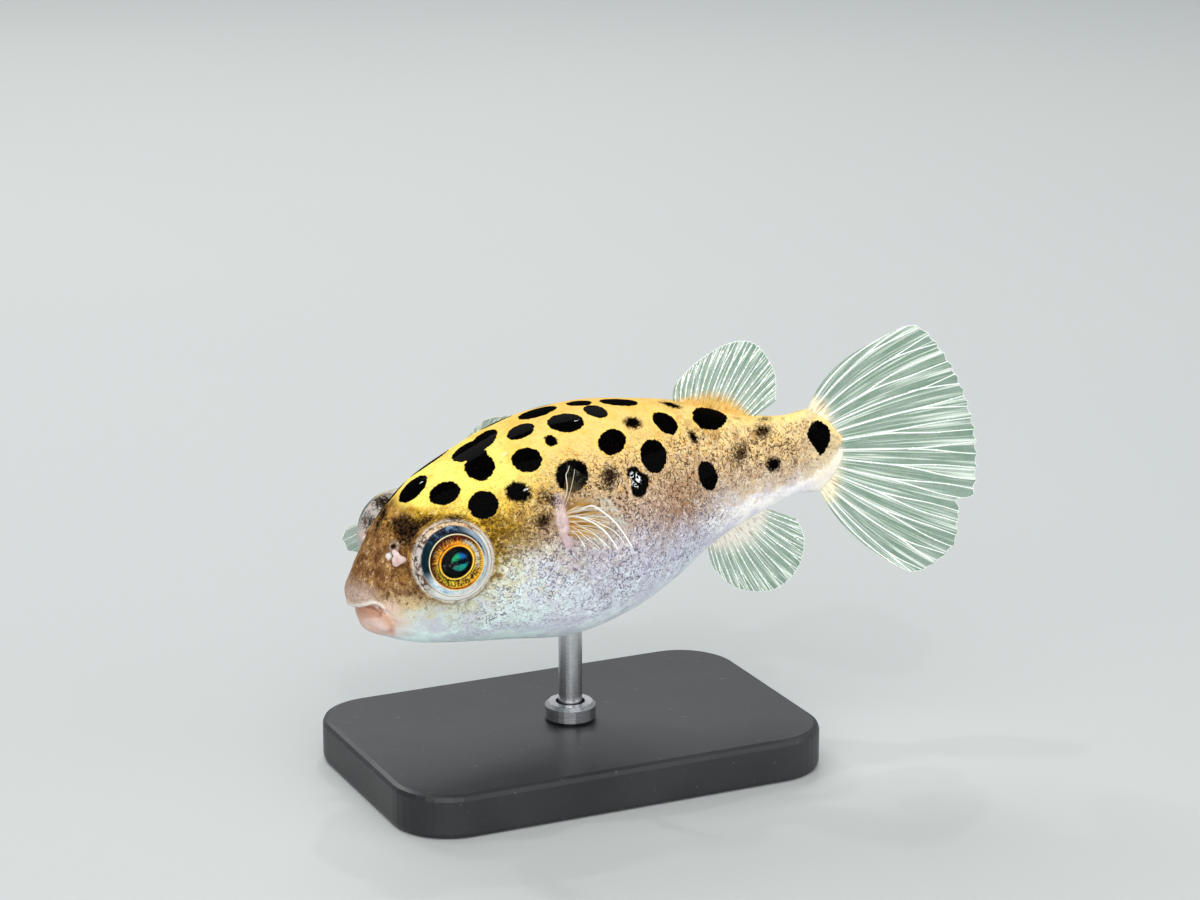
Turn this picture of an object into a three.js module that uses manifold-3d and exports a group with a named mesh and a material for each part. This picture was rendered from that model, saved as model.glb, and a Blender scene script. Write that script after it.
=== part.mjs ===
// A young spotted freshwater pufferfish, life size, swimming nose-down on a small display stand.
// Millimetres, +Z up. The origin is the middle of the underside of the stand's base.
// The fish is built level in its own frame: x runs from the snout to the root of the tail fin,
// +y is the fish's right, and z is up from the line between the mouth and the root of the tail fin.
// It is then curved sideways at the tail, pitched nose-down and set over the base.
import * as THREE from "three";
import { mergeVertices } from "three/addons/utils/BufferGeometryUtils.js";
import Module from "manifold-3d";

const wasm = await Module();
wasm.setup();

// ---------- driving dimensions ----------
const BODY_LENGTH = 51; // snout to the root of the tail fin
const PITCH = THREE.MathUtils.degToRad(11); // nose-down
const TAIL_BEND = THREE.MathUtils.degToRad(20); // turn of the tail to the fish's left
const BEND_START = 27.5; // where the turn begins, along the body
const GAP = 0.3; // between neighbouring solids
const FIN_THICKNESS = 0.56;
const CUT_MARGIN = 60; // blocks used for cutting reach this far

// Where the parts of the body meet, along the body.
const HEAD_END = 17.8;
const TRUNK_END = 35.8;

// The sides of the fish, as signs of y.
const [LEFT, RIGHT] = [-1, 1];

// The stand.
const BASE_LENGTH = 46;
const BASE_WIDTH = 30;
const BASE_HEIGHT = 4.5;
const BASE_CORNER = 6;
const BASE_BEVEL = 0.6;
const BASE_FLOOR = 1.4; // left under the blind hole for the rod
const ROD_RADIUS = 1.2;
const ROD_ALONG = 22; // the rod meets the belly here, along the body
const SOCKET_DEPTH = 4; // of the rod in the belly
const COLLAR_RADIUS = 2.6;
const COLLAR_HEIGHT = 1.6;
const COLLAR_EDGE = 0.35;
const BELLY_HEIGHT = 14.5; // the rod's way into the belly, over the underside of the base

// ---------- outline of the body ----------
// along the body, height of the back, depth of the belly, half width
const STATIONS = [
  [0, 2.2, -1.6, 2.4],
  [2, 4.2, -3.7, 3.5],
  [5, 7.4, -5.5, 5.1],
  [9, 9.9, -6.8, 7.0],
  [14, 11.4, -8.1, 8.8],
  [20.5, 12.7, -9.8, 10.0],
  [27.5, 12.4, -9.4, 9.6],
  [33.5, 10.9, -7.7, 7.8],
  [38.5, 9.2, -5.5, 5.6],
  [43.5, 6.7, -4.0, 3.7],
  [48, 5.4, -2.9, 2.3],
  [51, 5.5, -3.0, 1.4],
];
const [BACK, BELLY, HALF_WIDTH] = [1, 2, 3];
const WIDEST = 0.47; // the widest line lies at this share of the height
const SNOUT_ROUNDING = 2.2; // length of the rounded end of the snout
const ROOT_ROUNDING = 0.8; // and of the end of the tail, which narrows to ROOT_END
const ROOT_END = 0.8;
const SQUARENESS = 2.15; // 2 is an ellipse

// Value of one column of STATIONS at x, on a smooth curve through the stations.
function profile(column, x) {
  const last = STATIONS.length - 1;
  const slope = (i) => {
    const [a, b] = [STATIONS[Math.max(i - 1, 0)], STATIONS[Math.min(i + 1, last)]];
    return (b[column] - a[column]) / (b[0] - a[0]);
  };
  let i = 0;
  while (i < last - 1 && x > STATIONS[i + 1][0]) i++;
  const [from, to] = [STATIONS[i], STATIONS[i + 1]];
  const span = to[0] - from[0];
  const t = (x - from[0]) / span;
  const rise = to[column] - from[column];
  const [m0, m1] = [slope(i) * span, slope(i + 1) * span];
  return from[column] + t * (m0 + t * (3 * rise - 2 * m0 - m1 + t * (m0 + m1 - 2 * rise)));
}

function middleHeight(x) {
  return THREE.MathUtils.lerp(profile(BELLY, x), profile(BACK, x), WIDEST);
}

// How far a rounded end has opened at this share of its length.
const rounding = (share) => Math.sqrt(1 - (1 - Math.min(share, 1)) ** 2);

// Point of the body's surface at x, at an angle from the back (0) over the right side to the belly (PI).
function surface(x, angle) {
  const root = ROOT_END + (1 - ROOT_END) * rounding((BODY_LENGTH - x) / ROOT_ROUNDING);
  const size = rounding(x / SNOUT_ROUNDING) * root;
  const [top, bottom] = [profile(BACK, x), profile(BELLY, x)];
  const middle = middleHeight(x);
  const power = (v) => Math.sign(v) * Math.abs(v) ** (2 / SQUARENESS);
  const [c, s] = [power(Math.cos(angle)), power(Math.sin(angle))];
  const rise = c > 0 ? top - middle : middle - bottom;
  return new THREE.Vector3(x, profile(HALF_WIDTH, x) * s * size, middle + rise * c * size);
}

// The tail turns to the left along an arc; the tail fin goes straight on from its end.
function bend(p) {
  const reach = BODY_LENGTH - BEND_START;
  const along = THREE.MathUtils.clamp(p.x - BEND_START, 0, reach);
  const radius = reach / TAIL_BEND;
  const turn = along / radius;
  const beyond = p.x - BEND_START - along;
  return new THREE.Vector3(
    BEND_START + radius * Math.sin(turn) + beyond * Math.cos(turn) + p.y * Math.sin(turn),
    -radius * (1 - Math.cos(turn)) - beyond * Math.sin(turn) + p.y * Math.cos(turn),
    p.z,
  );
}

// ---------- solids ----------
// A closed solid from a geometry, whose vertices are merged first.
function solid(geometry) {
  const bare = geometry.clone();
  for (const name of Object.keys(bare.attributes)) if (name !== "position") bare.deleteAttribute(name);
  const merged = mergeVertices(bare, 1e-4);
  return new wasm.Manifold(
    new wasm.Mesh({
      numProp: 3,
      vertProperties: new Float32Array(merged.attributes.position.array),
      triVerts: new Uint32Array(merged.index.array),
    }),
  );
}

function geometryOf(manifold) {
  const mesh = manifold.getMesh();
  const geometry = new THREE.BufferGeometry();
  geometry.setAttribute("position", new THREE.BufferAttribute(mesh.vertProperties, 3));
  geometry.setIndex(new THREE.BufferAttribute(mesh.triVerts, 1));
  return geometry;
}

// An ellipsoid with these radii, turned by an Euler rotation and moved to a place.
function ellipsoid(radii, place, rotation = new THREE.Euler(), around = 20, along = 12) {
  const geometry = new THREE.SphereGeometry(1, around, along);
  geometry.scale(...radii);
  geometry.applyMatrix4(new THREE.Matrix4().makeRotationFromEuler(rotation));
  geometry.translate(place.x, place.y, place.z);
  return solid(geometry);
}

// An upright cylinder standing on z = 0.
function upright(radius, height) {
  const geometry = new THREE.CylinderGeometry(radius, radius, height, 24);
  geometry.rotateX(Math.PI / 2);
  geometry.translate(0, 0, height / 2);
  return geometry;
}

// A prism right across the fish over an outline of [x, z] points, moved by a shift along both.
function prism(outline, shift = 0) {
  const shape = new THREE.Shape(outline.map(([x, z]) => new THREE.Vector2(x + shift, z + shift)));
  const geometry = new THREE.ExtrudeGeometry(shape, { depth: 2 * CUT_MARGIN, bevelEnabled: false });
  geometry.rotateX(Math.PI / 2);
  geometry.translate(0, CUT_MARGIN, 0);
  return solid(geometry);
}

// The block that holds what lies between two places along the fish.
function slice(from, to) {
  return prism([
    [from, -CUT_MARGIN],
    [to, -CUT_MARGIN],
    [to, CUT_MARGIN],
    [from, CUT_MARGIN],
  ]);
}

const largest = (manifold) => manifold.decompose().sort((a, b) => b.volume() - a.volume())[0];

// ---------- body ----------
const LOFT_AROUND = 32;
const LOFT_ALONG = 38;
const LOFT_SPREAD = 0.92; // below 1 gives the snout fewer rings than the tail

// The whole body without lips, eyes and fins: a sphere whose poles go to the snout and the tail.
function bodyLoft(grow = 0) {
  const geometry = new THREE.SphereGeometry(1, LOFT_AROUND, LOFT_ALONG);
  const position = geometry.attributes.position;
  const unit = new THREE.Vector3();
  for (let i = 0; i < position.count; i++) {
    unit.fromBufferAttribute(position, i);
    const fromPole = Math.acos(THREE.MathUtils.clamp(unit.y, -1, 1)) / Math.PI;
    const x = BODY_LENGTH * (0.5 - 0.5 * Math.cos(Math.PI * fromPole ** LOFT_SPREAD));
    const p = new THREE.Vector3(x, 0, middleHeight(x));
    const atPole = Math.hypot(unit.x, unit.z) < 1e-6;
    if (!atPole) {
      const skin = surface(x, Math.atan2(unit.x, unit.z));
      const out = skin.clone().sub(p).normalize();
      p.copy(skin).addScaledVector(out, grow);
    }
    position.setXYZ(i, ...bend(p));
  }
  return solid(geometry);
}

// ---------- head: lips, eyes, nasal flaps ----------
const UPPER_LIP = { radii: [2.0, 2.9, 1.7], place: new THREE.Vector3(1.75, 0, 0.8) };
const LOWER_LIP = { radii: [2.0, 2.6, 1.6], place: new THREE.Vector3(2.6, 0, -2.1) };
const lip = ({ radii, place }) => ellipsoid(radii, place, new THREE.Euler(), 18, 10);

// The lower jaw is what lies below the mouth slit and ahead of a slanting line down to the chin.
const JAW = [
  [-4, -0.3],
  [2.9, -0.85],
  [6.4, -12],
  [-4, -12],
];

// Each eye's middle, the second number being its distance sideways, and where it looks, in degrees.
// The right eye is turned a little lower and further ahead than the left one.
const EYES = {
  [LEFT]: { middle: [8.65, 7.1, 3.9], forward: 5, upward: 14.5 },
  [RIGHT]: { middle: [8.3, 7.1, 3.35], forward: 8, upward: 12 },
};
const EYE_RADII = [3.85, 3.2, 3.85]; // the second one is along the line of sight
// The ring of flesh round an eye is set this far deeper in the head.
const ORBIT = { radii: [4.5, 2.4, 4.5], sunk: 0.3 };

function eyeFrame(side) {
  const forward = THREE.MathUtils.degToRad(EYES[side].forward);
  const upward = THREE.MathUtils.degToRad(EYES[side].upward);
  const direction = new THREE.Vector3(
    -Math.sin(forward) * Math.cos(upward),
    side * Math.cos(forward) * Math.cos(upward),
    Math.sin(upward),
  );
  const turn = new THREE.Quaternion().setFromUnitVectors(new THREE.Vector3(0, side, 0), direction);
  const rotation = new THREE.Euler().setFromQuaternion(turn);
  const [x, y, z] = EYES[side].middle;
  return { direction, rotation, place: new THREE.Vector3(x, side * y, z) };
}

function eyeball(side, grow = 0) {
  const { rotation, place } = eyeFrame(side);
  const radii = EYE_RADII.map((r) => r + grow);
  return ellipsoid(radii, place, rotation);
}

function orbit(side) {
  const { direction, rotation, place } = eyeFrame(side);
  return ellipsoid(ORBIT.radii, place.addScaledVector(direction, -ORBIT.sunk), rotation);
}

// A two-lobed flap of skin stands over the nostril between lip and eye.
const FLAP = { along: 4.6, angle: 0.94, radii: [0.42, 0.42, 0.85], apart: 0.33, lean: 0.35, outward: 0.75 };
function nasalFlap(side) {
  const root = surface(FLAP.along, side * FLAP.angle);
  const lobe = (way) => {
    const place = new THREE.Vector3(root.x + way * FLAP.apart, root.y + side * 0.4, root.z + 0.2);
    const rotation = new THREE.Euler(-side * FLAP.outward, way * FLAP.lean, 0);
    return ellipsoid(FLAP.radii, place, rotation, 8, 5);
  };
  return lobe(-1).add(lobe(1));
}

// The fleshy lobe that a pectoral fin grows from, at a place along the body.
const LOBE = { radii: [0.7, 0.7, 2.0], side: 9.2, height: 4.9, lean: 0.12 };
const LOBE_ALONG = { [LEFT]: 19.9, [RIGHT]: 19.2 };
function finLobe(side, grow = 0) {
  const radii = LOBE.radii.map((r) => r + grow);
  const place = new THREE.Vector3(LOBE_ALONG[side], side * LOBE.side, LOBE.height);
  return ellipsoid(radii, place, new THREE.Euler(0, LOBE.lean, 0), 12, 8);
}

// ---------- fins ----------
// A share along a smooth curve through a few points [x, y, z].
function along(points) {
  const curve = new THREE.CatmullRomCurve3(points.map((p) => new THREE.Vector3(...p)));
  return (t) => curve.getPointAt(t);
}
// The same in the middle plane of the fish, from points [x, z].
const alongMiddle = (points) => along(points.map(([x, z]) => [x, 0, z]));

// A fin is a fan of rays from a root line to a free margin, both given as functions of a share
// from the first ray to the last. bow gives a ray's bulge off the straight line, as a vector.
function finSolid({ root, margin, bow, rays, steps, bent }) {
  const at = (t, r) => {
    const p = root(t).lerp(margin(t), r);
    p.addScaledVector(bow(t), 4 * r * (1 - r));
    return bent ? bend(p) : p;
  };
  const nudge = 1e-3;
  const normal = (t, r) => {
    const [t0, r0] = [Math.min(t, 1 - nudge), Math.min(r, 1 - nudge)];
    const p = at(t0, r0);
    const across = at(t0 + nudge, r0).sub(p);
    const outward = at(t0, r0 + nudge).sub(p);
    return across.cross(outward).normalize();
  };
  const width = rays + 1;
  const points = [];
  for (const face of [0.5, -0.5])
    for (let j = 0; j <= steps; j++)
      for (let i = 0; i <= rays; i++) {
        const [t, r] = [i / rays, j / steps];
        points.push(at(t, r).addScaledVector(normal(t, r), face * FIN_THICKNESS));
      }
  const over = (i, j) => j * width + i;
  const under = (i, j) => width * (steps + 1) + over(i, j);
  const index = [];
  const quad = (a, b, c, d) => index.push(a, b, c, a, c, d);
  for (let j = 0; j < steps; j++)
    for (let i = 0; i < rays; i++) {
      quad(over(i, j), over(i + 1, j), over(i + 1, j + 1), over(i, j + 1));
      quad(under(i, j), under(i, j + 1), under(i + 1, j + 1), under(i + 1, j));
    }
  for (let i = 0; i < rays; i++) {
    quad(over(i, 0), under(i, 0), under(i + 1, 0), over(i + 1, 0));
    quad(over(i + 1, steps), under(i + 1, steps), under(i, steps), over(i, steps));
  }
  for (let j = 0; j < steps; j++) {
    quad(over(0, j + 1), under(0, j + 1), under(0, j), over(0, j));
    quad(over(rays, j), under(rays, j), under(rays, j + 1), over(rays, j + 1));
  }
  const geometry = new THREE.BufferGeometry().setFromPoints(points);
  geometry.setIndex(index);
  return solid(geometry);
}

const dorsalFin = {
  root: alongMiddle([
    [37.2, 8.6],
    [43.6, 5.2],
  ]),
  margin: alongMiddle([
    [37.8, 11.6],
    [39.9, 13.0],
    [43.9, 14.4],
    [46.4, 13.7],
    [47.9, 10.2],
    [47.5, 7.3],
  ]),
  bow: (t) => new THREE.Vector3(-0.3, 0, 0.3).multiplyScalar(1 - t),
  rays: 12,
  steps: 5,
  bent: true,
};

const analFin = {
  root: alongMiddle([
    [38.1, -5.0],
    [43.8, -3.4],
  ]),
  margin: alongMiddle([
    [38.4, -9.2],
    [40.0, -11.5],
    [43.9, -13.0],
    [47.0, -11.2],
    [48.1, -8.1],
    [47.6, -5.7],
  ]),
  bow: (t) => new THREE.Vector3(-0.2, 0, -0.3).multiplyScalar(1 - t),
  rays: 12,
  steps: 5,
  bent: true,
};

const caudalFin = {
  root: alongMiddle([
    [50.2, 5.0],
    [50.2, -2.6],
  ]),
  margin: alongMiddle([
    [58.6, 11.4],
    [62.6, 12.3],
    [65.2, 8.7],
    [66.9, 2.6],
    [67.0, -3.2],
    [65.3, -9.0],
    [62.4, -13.0],
    [59.0, -14.3],
    [56.0, -12.2],
  ]),
  bow: (t) => new THREE.Vector3(-0.8, 0, 1.0).lerp(new THREE.Vector3(-0.6, 0, -0.6), t),
  rays: 18,
  steps: 6,
  bent: true,
};

// The left pectoral fin sweeps out and back, the right one out and forward.
const leftPectoral = {
  root: along([
    [20.4, -8.6, 6.5],
    [19.8, -9.1, 3.3],
  ]),
  margin: along([
    [20.5, -11.5, 11.4],
    [22.2, -14.4, 9.3],
    [23.3, -16.6, 5.9],
    [23.7, -16.4, 3.1],
    [22.0, -15.4, 3.0],
    [19.9, -13.2, 3.1],
  ]),
  bow: () => new THREE.Vector3(0, -0.6, 0.8),
  rays: 10,
  steps: 6,
  bent: false,
};
const rightPectoral = {
  root: along([
    [19.6, 8.6, 6.5],
    [19.0, 9.1, 3.3],
  ]),
  margin: along([
    [23.9, 11.2, 9.4],
    [21.7, 12.0, 9.4],
    [19.3, 13.4, 7.3],
    [12.4, 14.4, 2.6],
    [4.8, 13.2, 2.2],
    [4.6, 12.8, 0.4],
    [11.0, 12.2, -1.9],
  ]),
  bow: () => new THREE.Vector3(0, 0.8, 0),
  rays: 12,
  steps: 6,
  bent: false,
};

// ---------- putting the fish together ----------
const flesh = bodyLoft()
  .add(lip(UPPER_LIP))
  .add(lip(LOWER_LIP))
  .add(orbit(LEFT))
  .add(orbit(RIGHT))
  .add(nasalFlap(LEFT))
  .add(nasalFlap(RIGHT))
  .add(finLobe(LEFT))
  .add(finLobe(RIGHT));
const hollowed = flesh.subtract(eyeball(LEFT, GAP)).subtract(eyeball(RIGHT, GAP));

// The rod's place on the belly, and its socket, which is upright once the fish is pitched.
const rodFoot = surface(ROD_ALONG, Math.PI);
function rodSocket() {
  const geometry = upright(ROD_RADIUS + GAP, 2 * SOCKET_DEPTH);
  geometry.translate(0, 0, -SOCKET_DEPTH);
  geometry.rotateY(PITCH);
  geometry.translate(rodFoot.x, rodFoot.y, rodFoot.z);
  return solid(geometry);
}

const head = hollowed.intersect(slice(-CUT_MARGIN, HEAD_END - GAP / 2)).subtract(prism(JAW, GAP));
const lowerJaw = hollowed.intersect(prism(JAW));
const trunk = hollowed.intersect(slice(HEAD_END + GAP / 2, TRUNK_END - GAP / 2)).subtract(rodSocket());
const tail = hollowed.intersect(slice(TRUNK_END + GAP / 2, CUT_MARGIN));

// Fins stop short of the flesh by the gap.
const thick = bodyLoft(GAP).add(finLobe(LEFT, GAP)).add(finLobe(RIGHT, GAP));
const fin = (shape) => geometryOf(largest(finSolid(shape).subtract(thick)));

const SKIN = { color: 0xb8995f, roughness: 0.4 };
const EYE_LOOK = { color: 0x99661f, roughness: 0.1 };
const FIN = { color: 0xccd9c2, roughness: 0.35, transparent: true, opacity: 0.45 };
const ACRYLIC = { color: 0x08080a, roughness: 0.4 };
const STEEL = { color: 0x9ea1a6, roughness: 0.3, metalness: 0.95 };

function addMesh(group, name, geometry, look) {
  const mesh = new THREE.Mesh(geometry, new THREE.MeshStandardMaterial(look));
  mesh.name = name;
  group.add(mesh);
}

const fish = new THREE.Group();
addMesh(fish, "head", geometryOf(head), SKIN);
addMesh(fish, "lower_jaw", geometryOf(lowerJaw), SKIN);
addMesh(fish, "trunk", geometryOf(trunk), SKIN);
addMesh(fish, "tail", geometryOf(tail), SKIN);
addMesh(fish, "eye_left", geometryOf(eyeball(LEFT)), EYE_LOOK);
addMesh(fish, "eye_right", geometryOf(eyeball(RIGHT)), EYE_LOOK);
addMesh(fish, "dorsal_fin", fin(dorsalFin), FIN);
addMesh(fish, "anal_fin", fin(analFin), FIN);
addMesh(fish, "caudal_fin", fin(caudalFin), FIN);
addMesh(fish, "pectoral_fin_left", fin(leftPectoral), FIN);
addMesh(fish, "pectoral_fin_right", fin(rightPectoral), FIN);

// Pitch the fish about its snout, then bring the rod's place on the belly over the middle of the base.
fish.rotation.y = -PITCH;
const pitched = rodFoot.clone().applyEuler(fish.rotation);
fish.position.set(-pitched.x, 0, BELLY_HEIGHT - pitched.z);

// ---------- stand ----------
// A rounded plate with bevelled edges and a blind hole for the rod.
function standBase() {
  const [x, y] = [BASE_LENGTH / 2 - BASE_BEVEL, BASE_WIDTH / 2 - BASE_BEVEL];
  const r = BASE_CORNER - BASE_BEVEL;
  const outline = new THREE.Shape();
  outline.moveTo(-x + r, -y);
  outline.absarc(x - r, -y + r, r, -Math.PI / 2, 0);
  outline.absarc(x - r, y - r, r, 0, Math.PI / 2);
  outline.absarc(-x + r, y - r, r, Math.PI / 2, Math.PI);
  outline.absarc(-x + r, -y + r, r, Math.PI, 1.5 * Math.PI);
  const plate = new THREE.ExtrudeGeometry(outline, {
    depth: BASE_HEIGHT - 2 * BASE_BEVEL,
    bevelThickness: BASE_BEVEL,
    bevelSize: BASE_BEVEL,
    bevelSegments: 2,
    curveSegments: 5,
  });
  plate.translate(0, 0, BASE_BEVEL);
  const hole = upright(ROD_RADIUS + GAP, BASE_HEIGHT);
  hole.translate(0, 0, BASE_FLOOR);
  return geometryOf(solid(plate).subtract(solid(hole)));
}

// The rod runs from its blind hole in the base to its socket in the belly.
function standRod() {
  const bottom = BASE_FLOOR + GAP;
  const top = BELLY_HEIGHT + SOCKET_DEPTH - 2 * GAP;
  const geometry = upright(ROD_RADIUS, top - bottom);
  geometry.translate(0, 0, bottom);
  return geometry;
}

// A turned ring round the rod's foot.
function standCollar() {
  const [inner, outer] = [ROD_RADIUS + GAP, COLLAR_RADIUS];
  const low = BASE_HEIGHT + GAP;
  const high = low + COLLAR_HEIGHT;
  const outline = [
    [inner, low],
    [outer, low],
    [outer, high - COLLAR_EDGE],
    [outer - COLLAR_EDGE, high],
    [inner, high],
    [inner, low],
  ].map(([r, z]) => new THREE.Vector2(r, z));
  const geometry = new THREE.LatheGeometry(outline, 28);
  geometry.rotateX(Math.PI / 2);
  return geometryOf(solid(geometry));
}

const part = new THREE.Group();
part.add(fish);
addMesh(part, "stand_base", standBase(), ACRYLIC);
addMesh(part, "stand_rod", standRod(), STEEL);
addMesh(part, "stand_collar", standCollar(), STEEL);

export default part;
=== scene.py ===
"""The looks of a young spotted freshwater pufferfish on a display stand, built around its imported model."""
import math
from functools import reduce

import bmesh
import bpy
import numpy as np
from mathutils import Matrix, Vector


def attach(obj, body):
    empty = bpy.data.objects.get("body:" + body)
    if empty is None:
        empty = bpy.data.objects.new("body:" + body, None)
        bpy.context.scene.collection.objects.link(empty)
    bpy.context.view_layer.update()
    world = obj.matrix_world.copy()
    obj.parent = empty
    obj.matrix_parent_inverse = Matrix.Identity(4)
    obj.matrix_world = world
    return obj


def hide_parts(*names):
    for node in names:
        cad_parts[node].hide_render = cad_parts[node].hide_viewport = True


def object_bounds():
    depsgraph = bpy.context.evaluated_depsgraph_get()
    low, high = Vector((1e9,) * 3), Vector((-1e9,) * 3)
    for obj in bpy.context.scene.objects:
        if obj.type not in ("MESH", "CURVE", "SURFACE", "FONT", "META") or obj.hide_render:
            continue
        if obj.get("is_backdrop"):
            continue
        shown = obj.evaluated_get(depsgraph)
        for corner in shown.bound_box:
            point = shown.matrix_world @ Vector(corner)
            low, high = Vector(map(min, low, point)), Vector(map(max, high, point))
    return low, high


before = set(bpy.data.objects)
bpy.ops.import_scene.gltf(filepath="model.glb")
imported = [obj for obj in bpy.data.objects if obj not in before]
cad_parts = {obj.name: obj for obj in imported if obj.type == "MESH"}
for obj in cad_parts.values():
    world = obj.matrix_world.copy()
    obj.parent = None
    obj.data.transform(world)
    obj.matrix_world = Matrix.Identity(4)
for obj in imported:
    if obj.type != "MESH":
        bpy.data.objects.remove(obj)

cad_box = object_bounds()

# ---------- the fish's own frame, in millimetres ----------
# x runs from the snout to the root of the tail fin, +y is the fish's right, z is up. The values repeat
# those of the solids. The fish is then bent at the tail, pitched nose-down and set on its rod.
MM = 0.001
BODY_LENGTH = 51.0
PITCH = math.radians(11)
TAIL_BEND = math.radians(20)
BEND_START = 27.5
ROD_ALONG = 22.0
BELLY_HEIGHT = 14.5
LEFT, RIGHT = -1, 1
SIDES = {LEFT: "left", RIGHT: "right"}

# along the body, height of the back, depth of the belly, half width
STATIONS = np.array([
    (0, 2.2, -1.6, 2.4),
    (2, 4.2, -3.7, 3.5),
    (5, 7.4, -5.5, 5.1),
    (9, 9.9, -6.8, 7.0),
    (14, 11.4, -8.1, 8.8),
    (20.5, 12.7, -9.8, 10.0),
    (27.5, 12.4, -9.4, 9.6),
    (33.5, 10.9, -7.7, 7.8),
    (38.5, 9.2, -5.5, 5.6),
    (43.5, 6.7, -4.0, 3.7),
    (48, 5.4, -2.9, 2.3),
    (51, 5.5, -3.0, 1.4),
])
BACK, BELLY, HALF_WIDTH = 1, 2, 3
WIDEST = 0.47
SNOUT_ROUNDING = 2.2
ROOT_ROUNDING = 0.8
ROOT_END = 0.8
SQUARENESS = 2.15


def profile(column, x):
    """Value of one column of STATIONS at x, on a smooth curve through the stations."""
    at, value = STATIONS[:, 0], STATIONS[:, column]
    ends = np.clip([np.arange(len(at)) - 1, np.arange(len(at)) + 1], 0, len(at) - 1)
    slope = (value[ends[1]] - value[ends[0]]) / (at[ends[1]] - at[ends[0]])
    i = np.clip(np.searchsorted(at, x) - 1, 0, len(at) - 2)
    span = at[i + 1] - at[i]
    t = (x - at[i]) / span
    rise = value[i + 1] - value[i]
    m0, m1 = slope[i] * span, slope[i + 1] * span
    return value[i] + t * (m0 + t * (3 * rise - 2 * m0 - m1 + t * (m0 + m1 - 2 * rise)))


def middle_height(x):
    low, high = profile(BELLY, x), profile(BACK, x)
    return low + (high - low) * WIDEST


def half_height(x, above):
    """From the middle up to the back, or down to the belly where above is false."""
    middle = middle_height(x)
    return np.where(above, profile(BACK, x) - middle, middle - profile(BELLY, x))


def rounding(share):
    """How far a rounded end has opened at this share of its length."""
    return np.sqrt(np.maximum(0, 1 - (1 - np.minimum(share, 1)) ** 2))


def end_size(x):
    root = ROOT_END + (1 - ROOT_END) * rounding((BODY_LENGTH - x) / ROOT_ROUNDING)
    return rounding(x / SNOUT_ROUNDING) * root


def surface(x, degrees):
    """Point of the plain body at x, this many degrees from the back, towards the left where positive."""
    x, angle = np.broadcast_arrays(np.asarray(x, float), np.radians(degrees))
    c, s = np.cos(angle), -np.sin(angle)
    c, s = (np.sign(v) * np.abs(v) ** (2 / SQUARENESS) for v in (c, s))
    size = end_size(x)
    return np.stack([x, profile(HALF_WIDTH, x) * s * size, middle_height(x) + half_height(x, c > 0) * c * size], -1)


def unit(v):
    return v / np.maximum(np.linalg.norm(v, axis=-1, keepdims=True), 1e-12)


def skin_axes(x, degrees):
    """A point of the plain body, and there the ways towards the tail, down the body and across both."""
    centre = surface(x, degrees)
    tail, down = unit(surface(x + 0.1, degrees) - centre), unit(surface(x, degrees + 1) - centre)
    return centre, tail, down, np.cross(tail, down)


def bend(p):
    """The tail turns to the left along an arc; what lies beyond its root goes straight on."""
    reach = BODY_LENGTH - BEND_START
    along = np.clip(p[..., 0] - BEND_START, 0, reach)
    radius = reach / TAIL_BEND
    turn = along / radius
    beyond = p[..., 0] - BEND_START - along
    x = BEND_START + radius * np.sin(turn) + beyond * np.cos(turn) + p[..., 1] * np.sin(turn)
    y = -radius * (1 - np.cos(turn)) - beyond * np.sin(turn) + p[..., 1] * np.cos(turn)
    return np.stack([x, y, p[..., 2]], -1)


def pitched(p):
    c, s = math.cos(PITCH), math.sin(PITCH)
    return np.stack([p[..., 0] * c - p[..., 2] * s, p[..., 1], p[..., 0] * s + p[..., 2] * c], -1)


ROD_FOOT = pitched(np.array([ROD_ALONG, 0, profile(BELLY, ROD_ALONG)]))


def place(p, bent=True):
    """Points of the fish's own frame, in millimetres, to the shared frame, in metres."""
    p = np.asarray(p, float)
    p = pitched(bend(p) if bent else p)
    return (p + np.array([-ROD_FOOT[0], 0, BELLY_HEIGHT - ROD_FOOT[2]])) * MM


def add_object(name, data):
    """A new object in the scene."""
    made = bpy.data.objects.new(name, data)
    bpy.context.scene.collection.objects.link(made)
    return made


# ---------- camera ----------
VIEW_AZIMUTH = math.radians(-25)
VIEW_ELEVATION = math.radians(16)
VIEW_DISTANCE = 0.33
VIEW_CENTRE = Vector((0.003317, 0, 0.032392))
VIEW_WIDTH = 0.11952  # of what the frame shows at the centre's distance
SENSOR_WIDTH = 36.0


def make_camera():
    data = bpy.data.cameras.new("camera")
    data.sensor_width = SENSOR_WIDTH
    data.lens = SENSOR_WIDTH * VIEW_DISTANCE / VIEW_WIDTH
    data.clip_start = 0.01
    data.clip_end = 20
    camera = add_object("camera", data)
    back = Vector((
        math.sin(VIEW_AZIMUTH) * math.cos(VIEW_ELEVATION),
        -math.cos(VIEW_AZIMUTH) * math.cos(VIEW_ELEVATION),
        math.sin(VIEW_ELEVATION),
    ))
    camera.location = VIEW_CENTRE + back * VIEW_DISTANCE
    camera.rotation_euler = back.to_track_quat("Z", "Y").to_euler()
    bpy.context.scene.camera = camera


make_camera()


# ---------- making meshes ----------
def outward(mesh):
    """Turns the faces of a closed mesh to look out."""
    shape = bmesh.new()
    shape.from_mesh(mesh)
    bmesh.ops.recalc_face_normals(shape, faces=shape.faces)
    shape.to_mesh(mesh)
    shape.free()


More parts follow.
